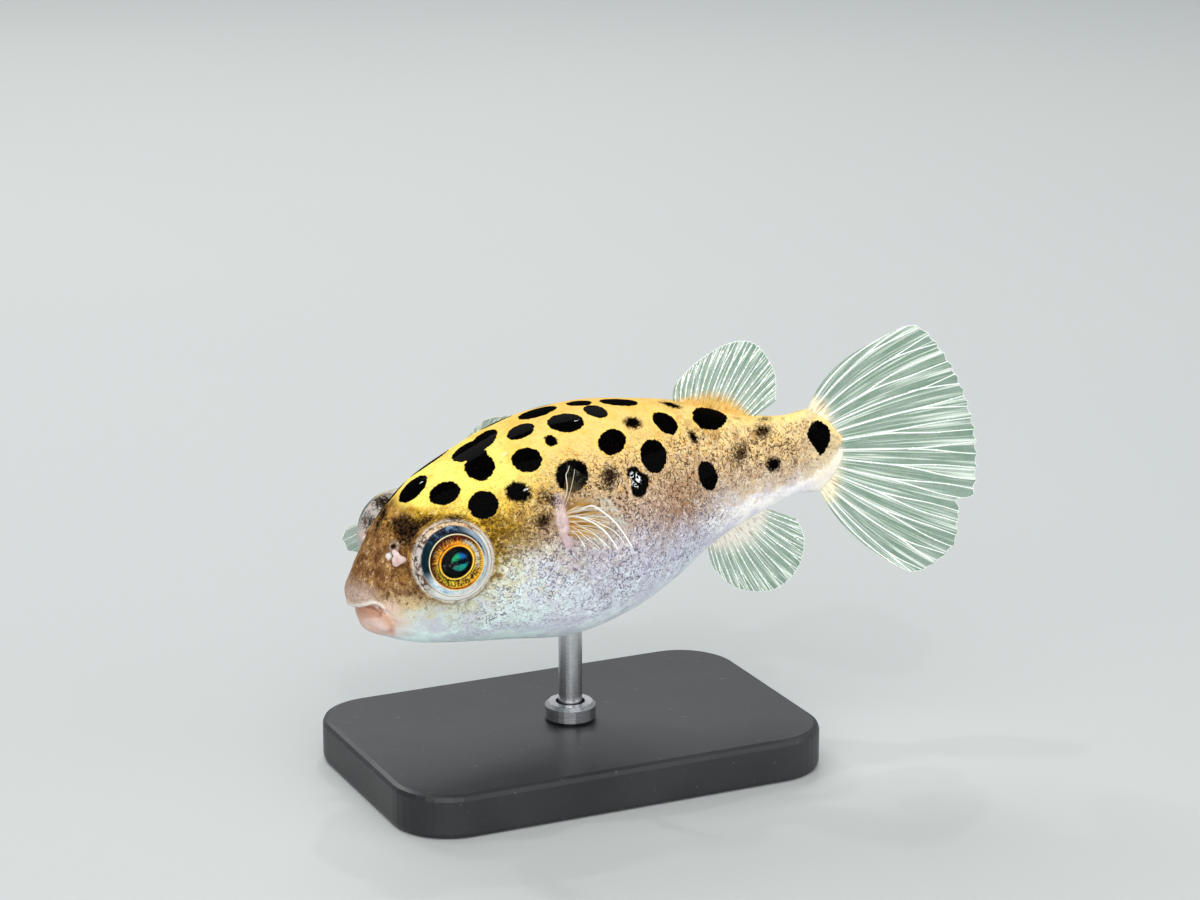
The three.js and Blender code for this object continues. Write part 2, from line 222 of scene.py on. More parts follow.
def make_mesh(name, points, faces, material, attributes):
    """A smooth-shaded object in the shared frame, from points in metres, riding on the model's body."""
    mesh = bpy.data.meshes.new(name)
    faces = [np.asarray(f) for f in faces if len(f)]
    loops = np.concatenate([f.ravel() for f in faces])
    sizes = np.concatenate([np.full(len(f), f.shape[1]) for f in faces])
    mesh.vertices.add(len(points))
    mesh.vertices.foreach_set("co", np.asarray(points, np.float32).ravel())
    mesh.loops.add(len(loops))
    mesh.loops.foreach_set("vertex_index", loops.astype(np.int32))
    mesh.polygons.add(len(sizes))
    starts = np.concatenate([[0], np.cumsum(sizes)[:-1]])
    mesh.polygons.foreach_set("loop_start", starts.astype(np.int32))
    mesh.update(calc_edges=True)
    mesh.validate()
    outward(mesh)
    mesh.polygons.foreach_set("use_smooth", np.ones(len(mesh.polygons), bool))
    for key, values in attributes.items():
        values = np.asarray(values, np.float32)
        kind = "FLOAT_VECTOR" if values.ndim == 2 else "FLOAT"
        layer = mesh.attributes.new(key, kind, "POINT")
        layer.data.foreach_set("vector" if values.ndim == 2 else "value", values.ravel())
    mesh.materials.append(material)
    piece = add_object(name, mesh)
    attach(piece, "root")
    return piece


def grid_faces(rows, columns, closed=False):
    """Quads between the points of a grid that is stored row by row."""
    i, j = np.meshgrid(np.arange(rows - 1), np.arange(columns if closed else columns - 1), indexing="ij")
    first, second = i * columns, (i + 1) * columns
    right = (j + 1) % columns
    return np.stack([first + j, first + right, second + right, second + j], -1).reshape(-1, 4)


def end_fans(rings, sides):
    """Triangles that close the first and the last ring of a grid with two further points."""
    k = np.arange(sides)
    following = (k + 1) % sides
    n, last = rings * sides, (rings - 1) * sides
    first_fan = np.stack([following, k, np.full(sides, n)], -1)
    return np.concatenate([first_fan, np.stack([last + k, last + following, np.full(sides, n + 1)], -1)])


def joined(parts):
    """Points, quads and triangles of several (points, quads, triangles), as one."""
    start = np.cumsum([0] + [len(points) for points, _, _ in parts])
    return (np.concatenate([points for points, _, _ in parts]),
            np.concatenate([quads + n for n, (_, quads, _) in zip(start, parts)]),
            np.concatenate([triangles + n for n, (_, _, triangles) in zip(start, parts)]))


RAY_SIDES = 6
ODD_WAY = (0.13, 0.97, 0.21)  # a direction along which no tube runs


def tube(path, radius):
    """A closed tube along a path, with a radius at each of its points."""
    along = unit(np.gradient(path, axis=0))
    out = unit(np.cross(along, ODD_WAY))
    side = np.cross(along, out)
    turn = np.linspace(0, 2 * np.pi, RAY_SIDES, endpoint=False)
    rings = out[:, None] * np.cos(turn)[None, :, None] + side[:, None] * np.sin(turn)[None, :, None]
    rings = path[:, None] + rings * radius.reshape(-1, 1, 1)
    points = np.concatenate([rings.reshape(-1, 3), path[:1], path[-1:]])
    return points, grid_faces(len(path), RAY_SIDES, closed=True), end_fans(len(path), RAY_SIDES)


# ---------- materials ----------
def linear(red, green, blue):
    """A colour for the shader, from its parts as seen on a screen, 0 to 255."""
    parts = (((v / 255 + 0.055) / 1.055) ** 2.4 if v > 10 else v / 255 / 12.92 for v in (red, green, blue))
    return (*parts, 1)


class Graph:
    """A material whose node tree is written as calls; each call gives the socket it makes.

    A colour is a socket or three parts from 0 to 255, as seen on a screen.
    """

    def __init__(self, name, **shader):
        self.material = bpy.data.materials.new(name)
        self.material.use_nodes = True
        self.tree = self.material.node_tree
        self.shader = self.tree.nodes["Principled BSDF"]
        self.finish(**shader)

    def feed(self, socket, value):
        if isinstance(value, bpy.types.NodeSocket):
            self.tree.links.new(value, socket)
        else:
            socket.default_value = linear(*value) if socket.type == "RGBA" else value

    def node(self, kind, inputs, output=0, **settings):
        node = self.tree.nodes.new(kind)
        for key, value in settings.items():
            setattr(node, key, value)
        for key, value in inputs.items():
            self.feed(node.inputs[key], value)
        return node.outputs[output]

    def attribute(self, name):
        return self.node("ShaderNodeAttribute", {}, "Fac", attribute_name=name)

    def vector_attribute(self, name):
        return self.node("ShaderNodeAttribute", {}, "Vector", attribute_name=name)

    def object_place(self):
        return self.node("ShaderNodeTexCoord", {}, "Object")

    def parts(self, vector):
        return [self.node("ShaderNodeSeparateXYZ", {0: vector}, i) for i in range(3)]

    def math(self, operation, a, b=0.0):
        return self.node("ShaderNodeMath", {0: a, 1: b}, operation=operation)

    def times(self, *values):
        return reduce(lambda a, b: self.math("MULTIPLY", a, b), values)

    def plus(self, *values):
        return reduce(lambda a, b: self.math("ADD", a, b), values)

    def centred(self, value, amount):
        """A value from 0 to 1, made to swing by this amount about 0."""
        return self.times(self.math("SUBTRACT", value, 0.5), amount)

    def scaled(self, vector, by):
        return self.node("ShaderNodeVectorMath", {0: vector, 1: by}, operation="MULTIPLY")

    def noise(self, vector, scale, detail=2.0, roughness=0.5, distortion=0.0):
        inputs = {"Vector": vector, "Scale": scale, "Detail": detail, "Roughness": roughness}
        return self.node("ShaderNodeTexNoise", {**inputs, "Distortion": distortion}, "Fac")

    def between(self, value, low, high, out_low=0.0, out_high=1.0):
        """Smooth step of value from low to high; low may be the larger."""
        inputs = {"Value": value, 1: low, 2: high, 3: out_low, 4: out_high}
        return self.node("ShaderNodeMapRange", inputs, interpolation_type="SMOOTHSTEP")

    def ramp(self, value, stops):
        """Colours at places from 0 to 1, blended along value."""
        node = self.tree.nodes.new("ShaderNodeValToRGB")
        self.feed(node.inputs[0], value)
        elements = node.color_ramp.elements
        elements.remove(elements[1])
        elements[0].position, elements[0].color = stops[0][0], linear(*stops[0][1])
        for at, color in stops[1:]:
            elements.new(at).color = linear(*color)
        return node.outputs[0]

    def mix(self, factor, a, b):
        return self.node("ShaderNodeMix", {0: factor, 6: a, 7: b}, 2, data_type="RGBA", clamp_factor=True)

    def coats(self, color, *coats):
        """Colours laid over one another; before a coat's colour stand factors whose product is its strength."""
        for *factors, coat in coats:
            color = self.mix(self.times(*factors), color, coat)
        return color

    def bump(self, height, distance, strength=1.0, **normal):
        return self.node("ShaderNodeBump", {"Height": height, "Distance": distance, "Strength": strength, **normal})

    def finish(self, **inputs):
        for key, value in inputs.items():
            self.feed(self.shader.inputs[key.replace("_", " ")], value)
        return self.material


# ---------- shapes of the head ----------
UPPER_LIP = {"radii": (1.87, 2.9, 1.7), "place": (1.75, 0, 0.8)}
LOWER_LIP = {"radii": (2.0, 2.6, 1.6), "place": (2.6, 0, -2.1)}
# Middle of each eye, its distance sideways second, and how far it looks ahead and upwards, in degrees.
EYES = {LEFT: ((8.65, 7.1, 3.9), 5, 14.5), RIGHT: ((8.3, 7.1, 3.35), 8, 12)}
EYE_RADIUS = 3.85
EYE_DEPTH = 3.2
SOCKET_ROOM = 0.02
ORBIT = {"radii": (4.3, 2.3, 4.3), "sunk": 0.3}
FLAP_ALONG, FLAP_ANGLE = 4.5, 51.5
# Along the body, degrees from the back.
NOSTRIL = (4.5, 40.0)
TUBERCLE = (3.85, 42.5)
# Along the body, the middle of the root of each pectoral fin.
LOBE_ALONG = {LEFT: 19.9, RIGHT: 19.2}
# Of the lumps of a pectoral fin's fleshy root: height up the body, size.
FIN_LUMPS = [(2.1, 0.24), (1.5, 0.40), (0.8, 0.46), (0.0, 0.60), (-0.8, 0.50), (-1.5, 0.38), (-2.0, 0.26)]
LIP_CORNER = (2.7, 3.6, -0.5)
# The fold that runs from the corner of the mouth round the lower lip, and its faint end under the lip.
MOUTH_FOLD = [(2.2, 3.62, -0.4), (2.45, 3.75, -0.75), (2.6, 3.72, -1.2), (2.62, 3.6, -1.7)]
UNDER_FOLD = [(2.9, 3.9, -2.2), (2.8, 3.4, -2.8), (2.6, 2.7, -3.3)]
LIP_PIT = {"radii": (0.3, 0.4, 0.2), "place": (2.15, 3.65, -0.42)}
NOSTRIL_RIM, NOSTRIL_HOLE, TUBERCLE_SIZE = 0.42, 0.24, 0.27
# The flesh reaches a little way over the root of the tail fin.
TAIL_FLESH = {"radii": (2.6, 0.5, 3.9), "place": (50.5, 0, 1.2)}


def on_side(side, points):
    """Points of the fish's right side, put on this side."""
    return np.array(points) * (1, side, 1)


def eye_axes(side):
    """Middle of an eye, and its axes: towards the tail, out along the line of sight, and up."""
    (along, sideways, height), *angles = EYES[side]
    forward, upward = np.radians(angles)
    out = np.array([-math.sin(forward) * math.cos(upward), side * math.cos(forward) * math.cos(upward),
                    math.sin(upward)])
    up = unit(np.array([0.0, 0, 1]) - out * out[2])
    tailward = np.cross(up, out) * -side
    tailward *= np.sign(tailward[0])
    return np.array([along, side * sideways, height]), np.stack([tailward, out, up])


# ---------- the skin, as a level surface of a distance-like field ----------
def smooth_union(a, b, k):
    h = np.clip(0.5 + 0.5 * (b - a) / k, 0, 1)
    return b + (a - b) * h - k * h * (1 - h)


def smooth_cut(a, b, k):
    return -smooth_union(-a, b, k)


def ellipsoid(p, radii, place, axes=None):
    p = p - np.asarray(place, float)
    if axes is not None:
        p = p @ np.asarray(axes).T
    r = np.asarray(radii, float)
    near = np.linalg.norm(p / r, axis=-1)
    return near * (near - 1) / np.maximum(np.linalg.norm(p / r ** 2, axis=-1), 1e-9)


# Towards the root of the tail fin the body narrows by this share, from this place along it.
TAIL_THINNING, THINNING_START = 0.45, 47


def body_field(p):
    x = np.clip(p[..., 0], 0.02, BODY_LENGTH)
    size = end_size(x)
    z = p[..., 2] - middle_height(x)
    rise = half_height(x, z > 0) * size
    thinner = TAIL_THINNING * np.clip((x - THINNING_START) / (BODY_LENGTH - THINNING_START), 0, 1) ** 2
    wide = profile(HALF_WIDTH, x) * size * (1 - thinner)
    radius = np.hypot(p[..., 1], z)
    q = (np.abs(p[..., 1] / wide) ** SQUARENESS + np.abs(z / rise) ** SQUARENESS) ** (1 / SQUARENESS)
    return radius * (1 - 1 / np.maximum(q, 1e-6)) + np.abs(p[..., 0] - x)


def segment(p, a, b, radius):
    a, b = np.asarray(a, float), np.asarray(b, float)
    t = np.clip(((p - a) @ (b - a)) / ((b - a) @ (b - a)), 0, 1)
    return np.linalg.norm(p - a - t[..., None] * (b - a), axis=-1) - radius


def chain(p, points, radius):
    """Distance to a bent tube through a few points."""
    return np.min([segment(p, a, b, radius) for a, b in zip(points[:-1], points[1:])], axis=0)


MOUTH_DEPTH = 2.25  # how far the slit reaches back from the middle of the lips
MOUTH_FRONT = 0.4
# Lines of the upper lip's edge, of the groove under it and of the lower lip's edge: along the body, half width.
UPPER_EDGE = [(0.40, 0.0), (0.46, 0.7), (0.66, 1.42), (1.05, 2.12), (1.62, 2.85), (2.0, 3.2), (2.32, 3.38)]
UNDER_EDGE = [(0.44, 0.0), (0.52, 0.7), (0.74, 1.4), (1.10, 2.05), (1.52, 2.7)]
LOWER_EDGE = [(1.62, 0.0), (1.66, 0.7), (1.80, 1.35), (2.02, 1.90), (2.22, 2.28)]


def slit_height(x, y):
    """Height of the line between the lips, arched over the front and drooping at its corners."""
    return -0.15 + 0.07 * y ** 2 - 0.95 * np.maximum(0, x - 1.1) ** 2


def mouth_slit(p):
    """A thin curved wedge between the lips, open at the front and closing at its corners."""
    x, y, z = p[..., 0], p[..., 1], p[..., 2]
    gap = 0.07 + 0.12 * np.clip((2.2 - x) / 2.5, 0, 1)
    thin = np.abs(z - slit_height(x, y) + gap) - gap
    plan = np.hypot(x - MOUTH_FRONT, y * 0.3) - MOUTH_DEPTH
    return np.maximum(thin, plan * 0.7)


def lip_edge(line, above):
    """Points of a rounded lip's edge, this far above the line between the lips, from side to side."""
    half = [(x, y, slit_height(x, y) + above) for x, y in line]
    return [(x, -y, z) for x, y, z in half[:0:-1]] + half


# The rounded edges of the lips and the groove under the upper one: line, height above the line between the lips,
# radius, softness, and whether flesh is added or cut.
LIP_EDGES = [
    (UPPER_EDGE, 0.40, 0.34, 0.45, smooth_union),
    (UNDER_EDGE, -0.68, 0.62, 0.3, smooth_cut),
    (LOWER_EDGE, -1.05, 0.80, 0.4, smooth_union),
]


def fin_lumps(side):
    """Middle and size of each lump of the fleshy root of a pectoral fin."""
    return [(surface(LOBE_ALONG[side] + 0.07 * up, -side * (70.5 - 5.6 * up)), size) for up, size in FIN_LUMPS]


def crease(side, along, degrees):
    """A line round the body, this far behind the root of a pectoral fin."""
    return surface(LOBE_ALONG[side] + along, -side * np.array(degrees))


def fin_hollow(side):
    return crease(side, 0.8, (63.0, 70.0, 78.0))


def on_skin(side, place):
    """The point of the plain body at a place along it and round it, in degrees from the back, on this side."""
    return surface(place[0], -side * place[1])


def nostril_pit(side):
    return on_skin(side, NOSTRIL) + on_side(side, (-0.1, 0.25, 0.3))


def skin_field(p):
    f = body_field(p)

    def add(radii, place, k, axes=None):
        nonlocal f
        f = smooth_union(f, ellipsoid(p, radii, place, axes), k)

    def groove(points, radius, k):
        nonlocal f
        f = smooth_cut(f, chain(p, points, radius), k)

    add(**UPPER_LIP, k=0.9)
    add(**LOWER_LIP, k=0.6)
    for line, above, radius, k, join in LIP_EDGES:
        f = join(f, chain(p, lip_edge(line, above), radius), k)
    f = smooth_cut(f, mouth_slit(p), 0.2)
    for side in SIDES:
        groove(on_side(side, MOUTH_FOLD), 0.10, 0.35)
        f = smooth_cut(f, ellipsoid(p, LIP_PIT["radii"], on_side(side, LIP_PIT["place"])), 0.2)
        groove(on_side(side, UNDER_FOLD), 0.03, 0.8)
        middle, axes = eye_axes(side)
        add(ORBIT["radii"], middle - axes[1] * ORBIT["sunk"], 0.7, axes)
        socket = np.array([EYE_RADIUS, EYE_DEPTH, EYE_RADIUS]) + SOCKET_ROOM
        f = smooth_cut(f, ellipsoid(p, socket, middle, axes), 0.18)
        for place, size in fin_lumps(side):
            add((size,) * 3, place, 0.2)
        # A hollow lies behind the fin's root, where the skin's colour paints shade in dark brown, and the gill
        # opening is a short crease just ahead of it.
        groove(fin_hollow(side), 0.16, 0.3)
        groove(crease(side, -1.25, (62.0, 71.0, 80.0)), 0.14, 0.4)
        # The nostril is a small pit with a raised rim ahead of the nasal flap, with a bump beside it.
        add((NOSTRIL_RIM,) * 3, on_skin(side, NOSTRIL), 0.3)
        f = smooth_cut(f, ellipsoid(p, (NOSTRIL_HOLE,) * 3, nostril_pit(side)), 0.08)
        add((TUBERCLE_SIZE,) * 3, on_skin(side, TUBERCLE), 0.12)
    add(**TAIL_FLESH, k=1.2)
    return f


def surface_nets(values, origin, step):
    """A quad mesh of the zero level of values on a grid."""
    inside = values < 0
    corners = [np.s_[i:(i - 1) or None] for i in (0, 1)]
    count = sum(inside[corners[i], corners[j], corners[k]].astype(np.int8)
                for i in (0, 1) for j in (0, 1) for k in (0, 1))
    cell = np.argwhere((count > 0) & (count < 8))
    number = -np.ones(count.shape, np.int64)
    number[tuple(cell.T)] = np.arange(len(cell))
    total, hits = np.zeros((len(cell), 3)), np.zeros(len(cell))
    for axis in range(3):
        for i in (0, 1):
            for j in (0, 1):
                offset = np.insert([i, j], axis, 0)
                a, b = cell + offset, cell + offset + np.eye(3, dtype=int)[axis]
                va, vb = values[tuple(a.T)], values[tuple(b.T)]
                crossed = (va < 0) != (vb < 0)
                t = np.where(crossed, va / np.where(crossed, va - vb, 1), 0)
                total += crossed[:, None] * (a + t[:, None] * (b - a))
                hits += crossed
    points = origin + step * total / hits[:, None]
    quads = []
    for axis in range(3):
        forward = np.eye(3, dtype=int)[axis]
        u, v = np.eye(3, dtype=int)[(axis + 1) % 3], np.eye(3, dtype=int)[(axis + 2) % 3]
        first = inside[tuple(slice(None, -1) if k == axis else slice(1, -1) for k in range(3))]
        second = inside[tuple(slice(1, None) if k == axis else slice(1, -1) for k in range(3))]
        edge = np.argwhere(first != second)
        goes_in = first[tuple(edge.T)]
        base = edge + (1 - forward)
        around = [number[tuple((base - a * u - b * v).T)] for a, b in ((0, 0), (1, 0), (1, 1), (0, 1))]
        quad = np.stack(around, -1)
        quads.append(np.where(goes_in[:, None], quad, quad[:, ::-1]))
    return points, np.concatenate(quads)


SLOPE_STEP = 0.02
LEAST_SLOPE = 0.2
LONGEST_MOVE = 0.15


def gradient(field, p):
    return np.stack([(field(p + e) - field(p - e)) / (2 * SLOPE_STEP) for e in np.eye(3) * SLOPE_STEP], -1)


def settle(points, field):
    """Moves points along the field's slope to its zero level."""
    for _ in range(3):
        slope = gradient(field, points)
        size = np.maximum((slope ** 2).sum(-1), LEAST_SLOPE ** 2)
        move = -field(points)[:, None] * slope / size[:, None]
        length = np.linalg.norm(move, axis=1, keepdims=True)
        points = points + move * np.minimum(1, LONGEST_MOVE / np.maximum(length, 1e-9))
    return points


SLAB = 24  # grid planes worked out at a time
ROUGH_REACH = 3.5  # how near a rough field's level the full field is needed


def level_mesh(field, low, high, step, rough_field=None):
    """A regular quad mesh of a field's zero level; far from a rough field's level, that one is enough."""
    axes = [np.arange(a, b, step) for a, b in zip(low, high)]
    shape = [len(a) for a in axes]
    values = np.empty(shape, np.float32)
    for i in range(0, shape[0], SLAB):
        block = np.stack(np.meshgrid(axes[0][i:i + SLAB], axes[1], axes[2], indexing="ij"), -1).reshape(-1, 3)
        if rough_field:
            level = rough_field(block)
            near = np.abs(level) < ROUGH_REACH
            level[near] = field(block[near])
        else:
            level = field(block)
        values[i:i + SLAB] = level.reshape(-1, shape[1], shape[2])
    points, quads = surface_nets(values, np.asarray(low, float), step)
    points = settle(points, field)
    edges = np.concatenate([quads[:, [i, (i + 1) % 4]] for i in range(4)])
    degree = np.maximum(np.bincount(edges[:, 0], minlength=len(points)), 1)[:, None]
    for _ in range(2):
        total = np.stack([np.bincount(edges[:, 0], points[edges[:, 1], k], len(points)) for k in range(3)], -1)
        points = settle(0.5 * points + 0.5 * total / degree, field)
    return points, quads


# ---------- markings ----------
FAR = 9.0  # stands for any greater distance


def body_angle(p):
    """Degrees from the back, towards the left where positive, of points of the skin."""
    x = np.clip(p[:, 0], 0.02, BODY_LENGTH)
    z = p[:, 2] - middle_height(x)
    parts = np.stack([-p[:, 1] / profile(HALF_WIDTH, x), z / half_height(x, z > 0)])
    s, c = np.sign(parts) * np.abs(parts) ** (SQUARENESS / 2)
    return np.degrees(np.arctan2(s, c))


# Each spot: along the body, degrees from the back, half length, half width, turn, softness of its edge.
# The turn is in degrees from the length of the body towards the belly.
BACK_SPOTS = [
    (7.4, -24, 2.0, 1.1, 0, 0.05),
    (11.8, -22, 2.5, 1.5, 0, 0.05),
    (19.7, -19, 1.9, 1.1, 0, 0.05),
    (8.5, 2.9, 1.8, 1.5, -24, 0.05),
    (14.9, 2.5, 1.9, 1.7, -30, 0.05),
    (16.8, 1.0, 1.9, 1.35, -49, 0.05),
    (15.1, 13.0, 1.0, 1.1, 0, 0.05),
    (14.6, 21.8, 1.8, 1.45, -84, 0.05),
    (20.0, 11.0, 1.5, 1.2, -12, 0.05),
    (23.1, -2.9, 2.1, 1.4, -9, 0.05),
    (28.1, 12.5, 1.4, 1.1, 76, 0.05),
    (27.5, -1.5, 1.3, 1.0, 28, 0.05),
    (31.4, 2.0, 2.0, 1.2, 9, 0.05),
    (36.6, 7.3, 1.1, 0.6, 40, 0.3),
    (46.0, 10.5, 0.6, 0.3, -12, 0.5),
    (5.3, -4.0, 1.1, 0.6, -59, 0.5),
    (4.5, -3.0, 0.8, 0.5, -50, 0.6),
]
SIDE_SPOTS = [
    (10.5, 27.8, 1.6, 1.3, 16, 0.05),
    (13.2, 47.6, 1.5, 1.4, 26, 0.06),
    (18.8, 32.8, 1.5, 1.4, 60, 0.05),
    (16.7, 48.7, 1.3, 1.0, 37, 0.25),
    (21.9, 27.0, 0.75, 0.65, -83, 0.1),
    (6.2, 35.0, 1.8, 1.25, 70, 0.7),
    (5.7, 24.0, 1.1, 0.9, 60, 0.9),
    (7.7, 40.0, 1.1, 0.6, 10, 0.8),
    (5.6, 42.0, 1.0, 0.7, 80, 0.9),
    (10.3, 49.6, 0.8, 0.4, 25, 0.6),
    (18.0, 67.5, 0.7, 0.7, -72, 0.6),
    (19.2, 58.0, 1.0, 0.6, 39, 0.9),
    (24.4, 16.5, 1.8, 1.6, 19, 0.05),
    (27.7, 38.9, 1.8, 1.3, -25, 0.05),
    (31.1, 27.8, 1.1, 0.8, -16, 0.4),
    (31.8, 53.1, 1.9, 1.6, -36, 0.05),
    (34.8, 30.2, 1.5, 1.3, 69, 0.05),
    (40.1, 21.8, 2.2, 1.6, -24, 0.05),
    (37.3, 45.8, 0.8, 0.5, 67, 0.35),
    (22.2, 50.7, 1.8, 1.6, -30, 0.2),
    (25.8, 57.7, 1.1, 0.9, -54, 0.7),
    (28.6, 59.7, 0.95, 0.7, 2, 0.15),
    (28.9, 66.7, 1.45, 1.0, -32, 0.12),
    (37.8, 77.4, 1.6, 1.25, 70, 0.05),
    (45.7, 82.9, 0.9, 0.75, 22, 0.35),
    (51.45, 62.5, 1.5, 1.2, 72, 0.08),
    (45.4, 36.0, 0.9, 0.7, 0, 0.7),
    (42.3, 62.9, 1.0, 0.8, -45, 0.9),
]
SPOT_SEED = 5
MOVED_BEFORE = 48  # along the body; spots behind it keep their place on the right side
SPOTS_FLAT_FROM = 48.5  # along the body; spots behind it are laid on from there straight along
SPOT_DEPTH = 2.5


def all_spots():
    """The spots of the back and of both sides; the right side's are the left side's, moved a little."""
    rng = np.random.default_rng(SPOT_SEED)
    spots = BACK_SPOTS + SIDE_SPOTS
    for along, degrees, length, width, turn, soft in SIDE_SPOTS:
        shift = rng.uniform(-1, 1, 5) * (along < MOVED_BEFORE)
        size = 1 + 0.15 * shift[2]
        spots.append((along + 0.9 * shift[0], -degrees - 5 - 5 * shift[1], length * size, width * size,
                      -turn + 25 * shift[3], soft))
    return spots


def spot_fields(p):
    """Distance of each point of the skin to the edge of the nearest spot, and how soft that edge is."""
    edge, softness = np.full(len(p), FAR), np.full(len(p), 0.05)
    for along, degrees, length, width, turn, soft in all_spots():
        held = min(along, SPOTS_FLAT_FROM)
        centre, tail, down, out = skin_axes(held, degrees)
        d = p - (centre + tail * (along - held))
        u, v, n = d @ tail, d @ down, d @ out
        c, s = math.cos(math.radians(turn)), math.sin(math.radians(turn))
        share = np.hypot((u * c + v * s) / length, (v * c - u * s) / width)
        distance = (share - 1) * min(length, width)
        nearer = (distance < edge) & (np.abs(n) < SPOT_DEPTH)
        edge[nearer], softness[nearer] = distance[nearer], soft
    return edge, softness


def ramp(value, low, high):
    t = np.clip((value - low) / (high - low), 0, 1)
    return t * t * (3 - 2 * t)


# Along the body: where, in degrees from the back, the yellow ends and the white begins.
YELLOW_EDGE = [(5, 4), (6.5, 12), (8, 32), (12, 52), (17, 54), (21, 46), (28, 49), (35, 46), (41, 38), (46, 29),
               (51, 26)]
WHITE_EDGE = [(0, 100), (4, 101), (10, 101), (13, 92), (15, 84), (18, 86), (22, 88), (28, 92), (34, 100), (40, 101),
              (44, 104), (48, 116), (51, 124)]


def along_table(x, table):
    at, value = np.array(table).T
    return np.interp(x, at, value)


def bell(value, middle, spread):
    return np.exp(-((value - middle) / spread) ** 2)


def zone_masks(p):
    """The soft zones of the skin's colours; all but fall run from 0 to 1."""
    x, z, angle = p[:, 0], p[:, 2], body_angle(p)
    from_back = np.abs(angle)
    yellow, white = along_table(x, YELLOW_EDGE), along_table(x, WHITE_EDGE)
    # Distances to the lines of sight, lumps, nostrils, bumps beside them, hollows and lip corners.
    rim, root, shaded_pit, knob, painted_hollow_shade, corner = (np.full(len(p), FAR) for _ in range(6))
    for side in SIDES:
        middle, axes = eye_axes(side)
        local = (p - middle) @ axes.T
        away = np.hypot(local[:, 0], local[:, 2])
        near = (local[:, 1] > -1.6) & (p[:, 1] * side > 0) & (away < FAR)
        rim[near] = away[near]
        for place, size in fin_lumps(side):
            root = np.minimum(root, np.linalg.norm(p - place, axis=1) - size)
        shaded_pit = np.minimum(shaded_pit, np.linalg.norm(p - nostril_pit(side), axis=1))
        knob = np.minimum(knob, np.linalg.norm(p - on_skin(side, TUBERCLE), axis=1))
        painted_hollow_shade = np.minimum(painted_hollow_shade, chain(p, fin_hollow(side), 0.0))
        corner = np.minimum(corner, np.linalg.norm(p - on_side(side, LIP_CORNER), axis=1))
    slit = z - slit_height(x, p[:, 1])
    lower_lip = np.maximum(ramp(x, 3.6, 2.4) * ramp(slit, 0.3, -0.1), 0.75 * ramp(x, 5.2, 2.8) * ramp(z, 0.1, -1.3))
    return {
        # How far down the body: 0 at the back, 1 where the yellow ends, 2 where the white begins, 3 at the belly.
        "fall": np.where(from_back < yellow, from_back / yellow,
                         np.where(from_back < white, 1 + (from_back - yellow) / (white - yellow),
                                  2 + (from_back - white) / (180 - white))),
        "snout": ramp(x, 8.6, 5.4) * ramp(from_back, white + 8, white - 14),
        "brown": np.exp(-((x - 33.6) / 3.6) ** 2 - ((from_back - 84) / 15) ** 2),
        "lips": np.maximum(lower_lip * ramp(z, -4.4, -3.0), 0.7 * ramp(corner, 1.7, 0.5)),
        "lip_top": ramp(x, 2.6, 0.6) * ramp(slit, 3.4, 1.0),
        "lip_edge": ramp(x, 2.7, 2.0) * bell(slit, 0.26, 0.22),
        "mouth": ramp(x, 2.35, 1.75) * bell(slit, -0.12, 0.18),
        # Painted shade on the top of the lower lip, under the upper lip's edge.
        "lip_shade": ramp(x, 3.3, 2.5) * ramp(slit, 0.1, -0.1) * ramp(slit, -2.0, -0.6),
        # Painted highlight: a pale ring along the lip of each eye's socket.
        "rim": bell(rim, 3.84, 0.11),
        "orbit": ramp(rim, 4.2, 3.92),
        "root": ramp(root, 0.35, 0.0),
        "tail_root": ramp(x, 48.2, 51.4),
        "nostril": bell(shaded_pit, 0.48, 0.16),
        # Painted shade: the nostril's pit is coloured near black.
        "shaded_pit": ramp(shaded_pit, 0.44, 0.28),
        "tubercle": ramp(knob, 0.38, 0.24),
        # Painted shade along the hollow behind each pectoral fin's root.
        "painted_hollow_shade": bell(painted_hollow_shade, 0.0, 0.3),
        "far_orbit": ramp(p[:, 1], 2.0, 4.0) * ramp(rim, 5.6, 4.4) * ramp(rim, 3.6, 3.8),
        # Painted glint: pale crackled curls in one black spot of the left flank stand in for a reflection.
        "painted_glint": np.exp(-((x - 28.5) / 0.75) ** 2 - ((angle - 63) / 4.5) ** 2),
    }


UNWRAP_CAP = 8.0  # along the body, where the polar cap of the snout ends
UNWRAP_RADIUS = 7.5
UNWRAP_LENGTH = 60


def unwrap(piece, points):
    """A UV map of the skin: along it against round it, opened along the belly, with a polar cap at the snout."""
    x, angle = points[:, 0], np.radians(body_angle(points))
    reach = np.hypot(points[:, 1], points[:, 2] - middle_height(np.array([UNWRAP_CAP]))[0])
    polar = np.arctan2(reach, np.maximum(UNWRAP_CAP - x, 0)) * UNWRAP_RADIUS
    along = np.where(x < UNWRAP_CAP, polar, np.pi / 2 * UNWRAP_RADIUS + x - UNWRAP_CAP)
    mesh = piece.data
    layer = mesh.uv_layers.new(name="OFBake")
    vertex = np.empty(len(mesh.loops), np.int32)
    mesh.loops.foreach_get("vertex_index", vertex)
    turn = angle[vertex].reshape(-1, 4)
    crosses = (turn.max(1) - turn.min(1)) > np.pi
    turn = np.where(crosses[:, None] & (turn < 0), turn + 2 * np.pi, turn)
    u = along[vertex] / UNWRAP_LENGTH
    v = (turn.ravel() + np.pi) / (2 * np.pi) * 0.96 + 0.01
    layer.data.foreach_set("uv", np.stack([u, v], -1).astype(np.float32).ravel())


